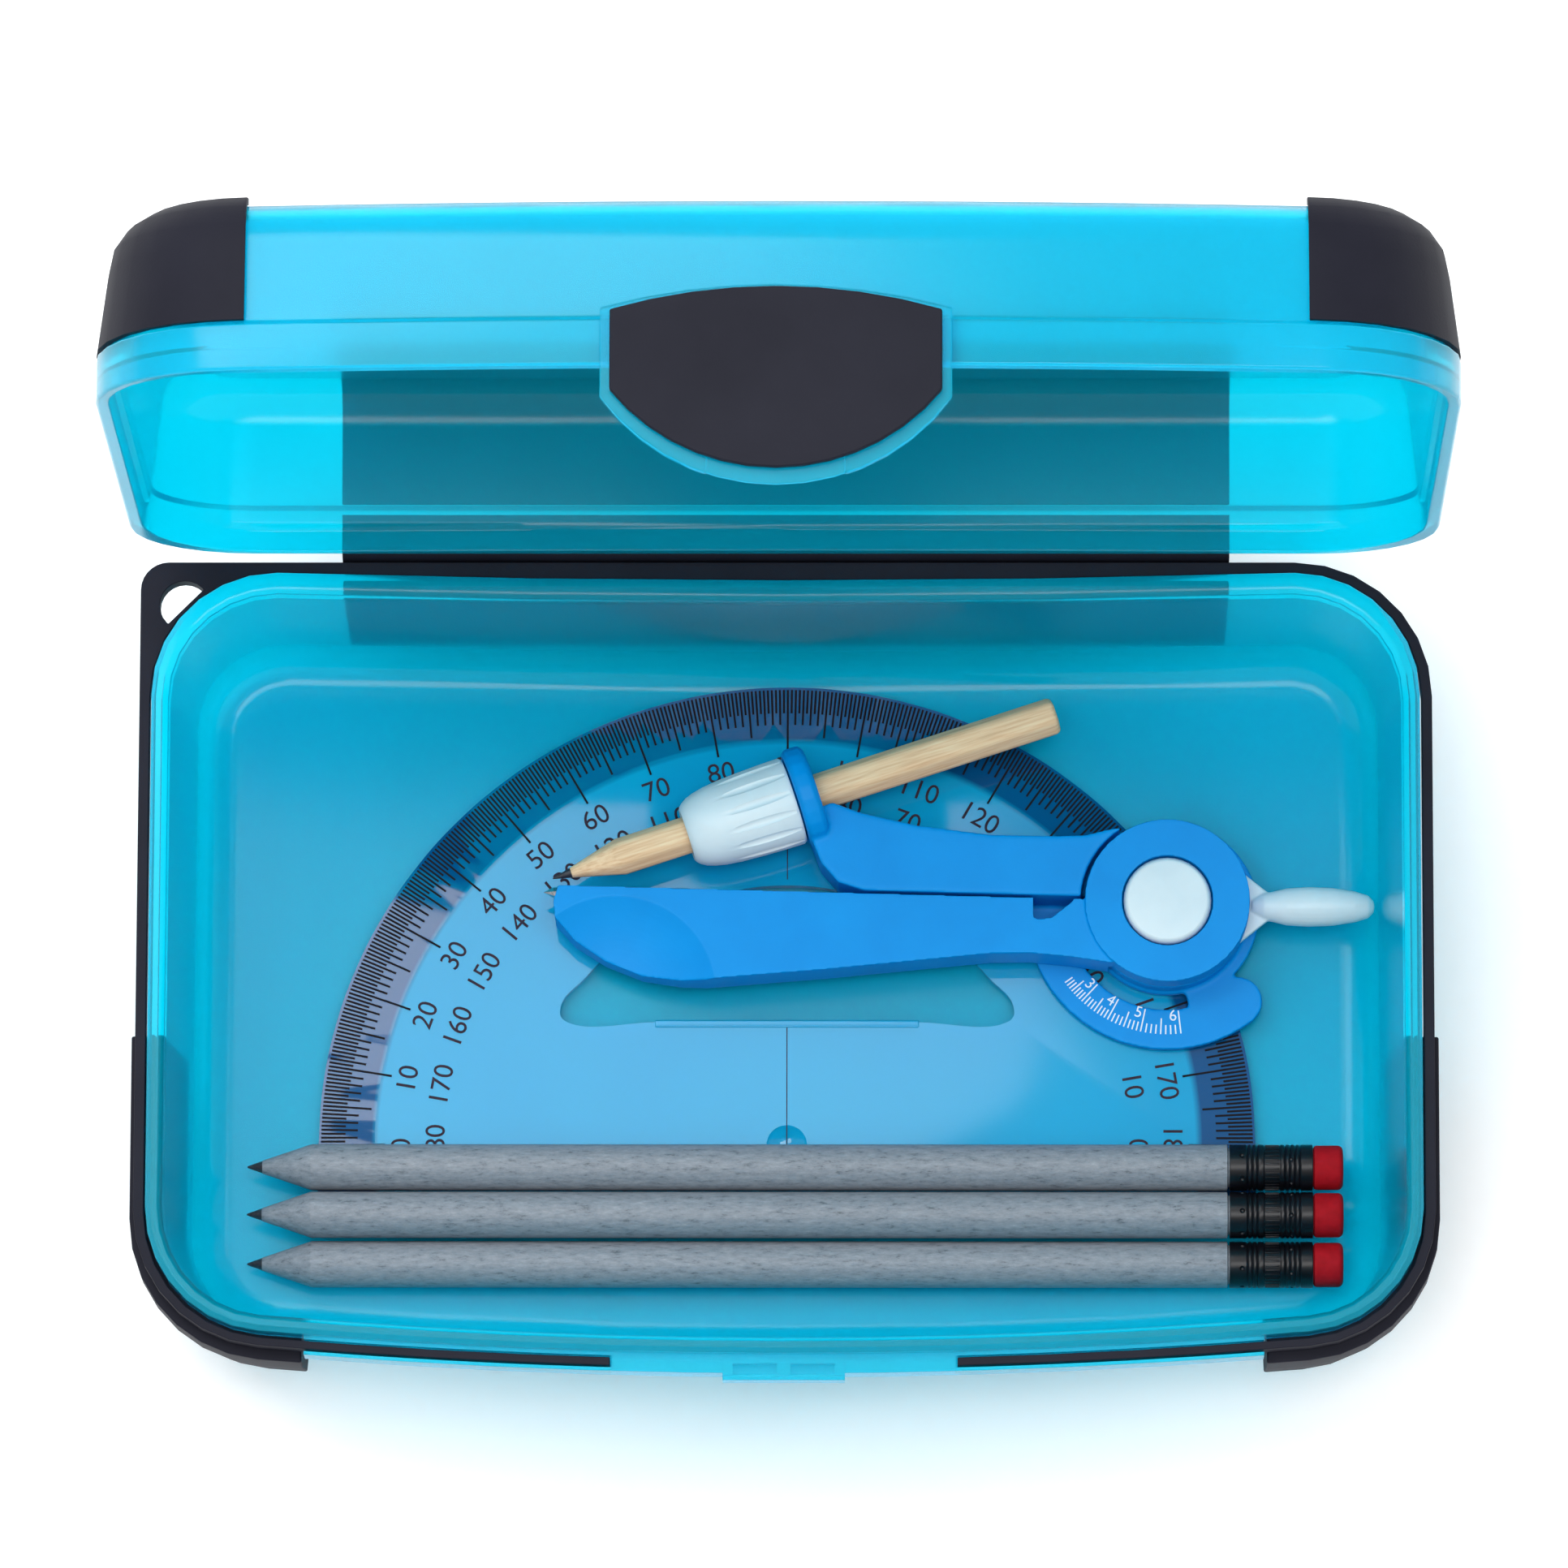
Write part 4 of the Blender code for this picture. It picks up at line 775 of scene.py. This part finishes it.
def makeNeedleLeg():
    c = compass
    leg = smoothCopy("compass_needle_leg", "compass_needle_leg_skin")
    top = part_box("compass_needle_leg")[1].z - c["legDrop"]
    wide, deep, steps = c["facetRadius"], c["facetDepth"], c["facetSteps"]
    bowl = [(-deep * (1 - (i / steps) ** 2), wide * i / steps) for i in range(steps + 2)]
    scoop = turnProfile("leaf_facet", bowl + [(mm, wide * 1.1), (mm, 0)], steps=120, axis="Z")
    placeMesh(scoop, head + Vector((*c["facetPlace"], top)))
    carve(leg, scoop)
    meltTogether(leg, c["legGrain"][0], 2)
    finishPiece(leg, bluePlastic, "compass", ("compass_needle_leg",), 40)
    # the steel needle ends in a faceted point outside the leg
    low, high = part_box("compass_needle")
    radius, length = (high.z - low.z) / 2, high.x - low.x - 0.2 * mm
    needle = turnProfile("compass_needle_ground", [
        (0, 0), (0.25 * mm, 0.12 * mm), (1.7 * mm, radius), (2.6 * mm, radius * 1.1),
        (3.0 * mm, radius * 0.8), (length, radius * 0.8), (length, 0)], steps=8)
    middle = (low + high) / 2
    placeMesh(needle, (low.x, middle.y + c["needleAside"], middle.z + c["needleLift"]))
    finishPiece(needle, steel, "compass", ("compass_needle",), 20)


def makePencilLeg():
    leg = smoothCopy("compass_pencil_leg", "compass_pencil_leg_skin")
    meltTogether(leg, compass["legGrain"][1], 5)
    finishPiece(leg, bluePlastic, "pencil_leg", ("compass_pencil_leg",), 60)


def makeScalePrint():
    # white graduation of eighths on the curved plate, with a figure beside each whole number
    c = compass
    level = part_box("compass_pencil_leg")[0].z + c["scaleTop"] + 0.02 * mm
    turns = c["scaleTurns"]
    pieces = []
    for eighths in range(2 * 8 + 1, 6 * 8 + 1):
        whole, part = divmod(eighths, 8)
        step = (turns[whole + 1] - turns[whole]) * part / 8 if part else 0
        length = c["tickLengths"][2 if part == 0 else 1 if part == 4 else 0]
        tick = addBlock((length, c["tickWidth"], c["inkHeight"]))
        placeMesh(tick, (c["scaleReach"] - length / 2, 0, 0))
        placeMesh(tick, head + Vector((0, 0, level)), math.radians(turns[whole] + step))
        pieces.append(tick)
    for whole in (3, 4, 5, 6):
        turn = math.radians(turns[whole] - c["digitTurn"])
        place = head + Vector((c["digitReach"] * math.cos(turn), c["digitReach"] * math.sin(turn), level))
        pieces.append(writeFigure(str(whole), c["digitHeight"], place, turn + math.pi / 2))
    finishPiece(joinPieces("compass_scale_print", pieces), whiteInk, "pencil_leg")


def makeHandle():
    handle = smoothCopy("compass_handle", "compass_handle_skin")
    meltTogether(handle, compass["gripGrain"], 4)
    finishPiece(handle, whitePlastic, "handle", ("compass_handle",), 60)
    for node in ("hub_cap_top", "hub_cap_bottom"):
        dressNode(node, compass["capEdge"])


nut = {
    "back": 41.3 * mm,          # along the wood pencil's axis, from its tip
    "length": 18.3 * mm,
    "radius": 7.3 * mm,
    "bore": 3.9 * mm,
    "backRound": 0.35 * mm,
    # the domed nose: (share of the length, radius in mm)
    "dome": ((0.0, 4.3), (0.012, 4.7), (0.04, 5.2), (0.09, 5.75), (0.16, 6.2), (0.26, 6.6), (0.4, 6.9),
             (0.58, 7.1), (0.8, 7.25), (0.975, 7.3)),
    "flutes": 14,
    "fluteDepth": 0.52 * mm,
    "fluteRadius": 0.95 * mm,
    "fluteStretch": 9.0,
    "fluteMiddle": 0.66,        # as a share of the length
    "fluteLean": -2.2,          # degrees
}


def makeClampNut():
    n = nut
    front, bore = n["back"] - n["length"], n["bore"]
    profile = [(front + 0.3 * mm, bore), (front, bore + 0.25 * mm)]
    profile += [(front + share * n["length"], radius * mm) for share, radius in n["dome"]]
    profile += [(n["back"], n["radius"] - n["backRound"]), (n["back"], bore)]
    body = turnProfile("clamp_nut_fluted", profile, steps=112, closed=True)
    bpy.ops.object.select_all(action="DESELECT")
    bpy.ops.mesh.primitive_uv_sphere_add(segments=24, ring_count=16, radius=n["fluteRadius"])
    groove = bpy.context.active_object
    bpy.ops.transform.resize(value=(n["fluteStretch"], 1.0, 1.0))
    bpy.ops.object.transform_apply(scale=True)
    deep = n["radius"] + n["fluteRadius"] - n["fluteDepth"]
    placeMesh(groove, (front + n["length"] * n["fluteMiddle"], 0, deep), math.radians(n["fluteLean"]), "Y")
    carve(body, joinPieces("grooves", ringOf(groove, n["flutes"])))
    onWoodAxis(body)
    finishPiece(body, whitePlastic, "clamp_nut", ("clamp_nut",), 40)


wood = {
    "length": 86.3 * mm,
    "cone": 12.7 * mm,
    "radius": 3.3 * mm,
    "coreRadius": 1.0 * mm,
    "bare": 3.2 * mm,           # graphite that shows at the tip
    "flatRound": 0.9 * mm,
}


def makeWoodPencil():
    w = wood
    bpy.ops.object.select_all(action="DESELECT")
    bpy.ops.mesh.primitive_cylinder_add(
        vertices=6, radius=w["radius"], depth=w["length"] - w["bare"], rotation=(0, math.pi / 2, 0),
        location=((w["length"] + w["bare"]) / 2, 0, 0))
    stick = bpy.context.active_object
    stick.name = "wood_pencil_hex"
    bpy.ops.object.transform_apply(location=True, rotation=True)
    softenEdges(stick, w["flatRound"], 5, 30)
    slope = w["radius"] / w["cone"]
    wide, past = w["radius"] * 1.2, w["length"] + mm
    sharpened = turnProfile("sharpened", [
        (w["bare"], 0), (w["bare"], w["bare"] * slope), (w["cone"] * 1.2, wide),
        (past, wide), (past, 0)], steps=96)
    carve(stick, sharpened, "INTERSECT")
    onWoodAxis(stick)
    finishPiece(stick, bareWood, "wood_pencil", ("wood_pencil",), 28)
    shown = w["bare"] - 0.02 * mm
    tip = turnProfile("wood_pencil_graphite", [
        (0, 0), (0.15 * mm, 0.1 * mm), (shown, w["bare"] * slope), (shown, 0)], steps=40)
    inside, proud, core = w["length"] - mm, w["length"] + 0.04 * mm, w["coreRadius"]
    end = turnProfile("wood_pencil_core_end", [
        (inside, 0), (inside, core), (proud, core), (proud, 0)], steps=32)
    lead = onWoodAxis(joinPieces("wood_pencil_graphite", [tip, end]))
    finishPiece(lead, graphite, "wood_pencil", ("wood_pencil_core",), 28)


makeCase()
print("case dressed")
makeProtractor()
print("protractor made")
for number in (1, 2, 3):
    makePencil(number)
print("pencils made")
makeNeedleLeg()
makePencilLeg()
makeScalePrint()
makeHandle()
makeClampNut()
makeWoodPencil()
print("compass made")


studio = {
    "cameraPlace": (23.1 * mm, -379.2 * mm, 2044.9 * mm),
    "cameraTurn": (11.523, 0.636, 0.144),
    "lens": 292.4,
    "floorSize": 6.0,
    "worldStrength": 0.6,
    # painted light: the floor paper's emission round the case, masked off under it as painted shadow
    "floorGlow": 0.32,
    "shadeSize": (0.1, 0.07),           # half sizes of the case's footprint
    "glowFrom": 0.8,                    # in footprints from the middle
    "glowFull": 1.5,
    "aim": (0, 0, 0.03),
    "overheadPlace": (-0.17, 0.4, 2.05),
    "overheadSize": (0.42, 0.32),
    "overheadPower": 0.95,
    "keyPlace": (-0.7, 0.85, 1.8),
    "keySize": (1.5, 1.1),
    "keyPower": 24.0,
    "topPlace": (0.1, -0.22, 2.1),
    "topSize": (1.6, 0.6),
    "topPower": 17.0,
}


def makeStudio():
    world = bpy.data.worlds.new("studio")
    world.use_nodes = True
    background = world.node_tree.nodes["Background"]
    background.inputs["Color"].default_value = (1, 1, 1, 1)
    background.inputs["Strength"].default_value = studio["worldStrength"]
    bpy.context.scene.world = world
    bpy.context.scene.view_settings.view_transform = "Standard"

    bpy.ops.mesh.primitive_plane_add(size=studio["floorSize"], location=(0, 0, -0.05 * mm))
    floor = bpy.context.active_object
    floor.name = "floor"
    material, tree, shader = newMaterial("pale_floor_paper")
    place = addNode(tree, "TexCoord").outputs["Object"]
    fibre = addNode(tree, "TexNoise", {
        "Vector": place, "Scale": 1 / (2.5 * mm), "Detail": 2.0}).outputs["Fac"]
    addNode(tree, "ValToRGB", {"Fac": fibre}, to=shader.inputs["Base Color"],
            stops=[(0.0, "F6F6F6"), (1.0, "FFFFFF")])
    # painted light: the paper is given an emission glow round the case and none under it, so the footprint beneath
    # the case reads as painted shadow
    wide, deep = studio["shadeSize"]
    ground = addNode(tree, "VectorMath", {
        0: place, 1: (1 / wide, 1 / deep, 0)}, operation="MULTIPLY").outputs[0]
    reach = addNode(tree, "VectorMath", {0: ground}, operation="LENGTH").outputs["Value"]
    glow = addNode(tree, "MapRange", {
        "Value": reach, "From Min": studio["glowFrom"], "From Max": studio["glowFull"],
        "To Max": studio["floorGlow"]}).outputs["Result"]
    tree.links.new(glow, shader.inputs["Emission Strength"])
    setShader(shader, Roughness=0.9, Emission_Color=(1, 1, 1, 1))
    floor.data.materials.append(material)

    for name in ("overhead", "key", "top"):
        bpy.ops.object.light_add(type="AREA", location=studio[name + "Place"])
        softbox = bpy.context.active_object
        softbox.name = "softbox_" + name
        softbox.data.shape = "RECTANGLE"
        softbox.data.size, softbox.data.size_y = studio[name + "Size"]
        softbox.data.energy = studio[name + "Power"]
        aim = Vector(studio["aim"]) - softbox.location
        softbox.rotation_euler = aim.to_track_quat("-Z", "Y").to_euler()

    bpy.ops.object.camera_add(
        location=studio["cameraPlace"], rotation=[math.radians(a) for a in studio["cameraTurn"]])
    camera = bpy.context.active_object
    camera.data.lens = studio["lens"]
    camera.data.sensor_width = 36.0
    camera.data.clip_start = 0.1
    camera.data.clip_end = 20.0
    bpy.context.scene.camera = camera


makeStudio()
print("studio set")
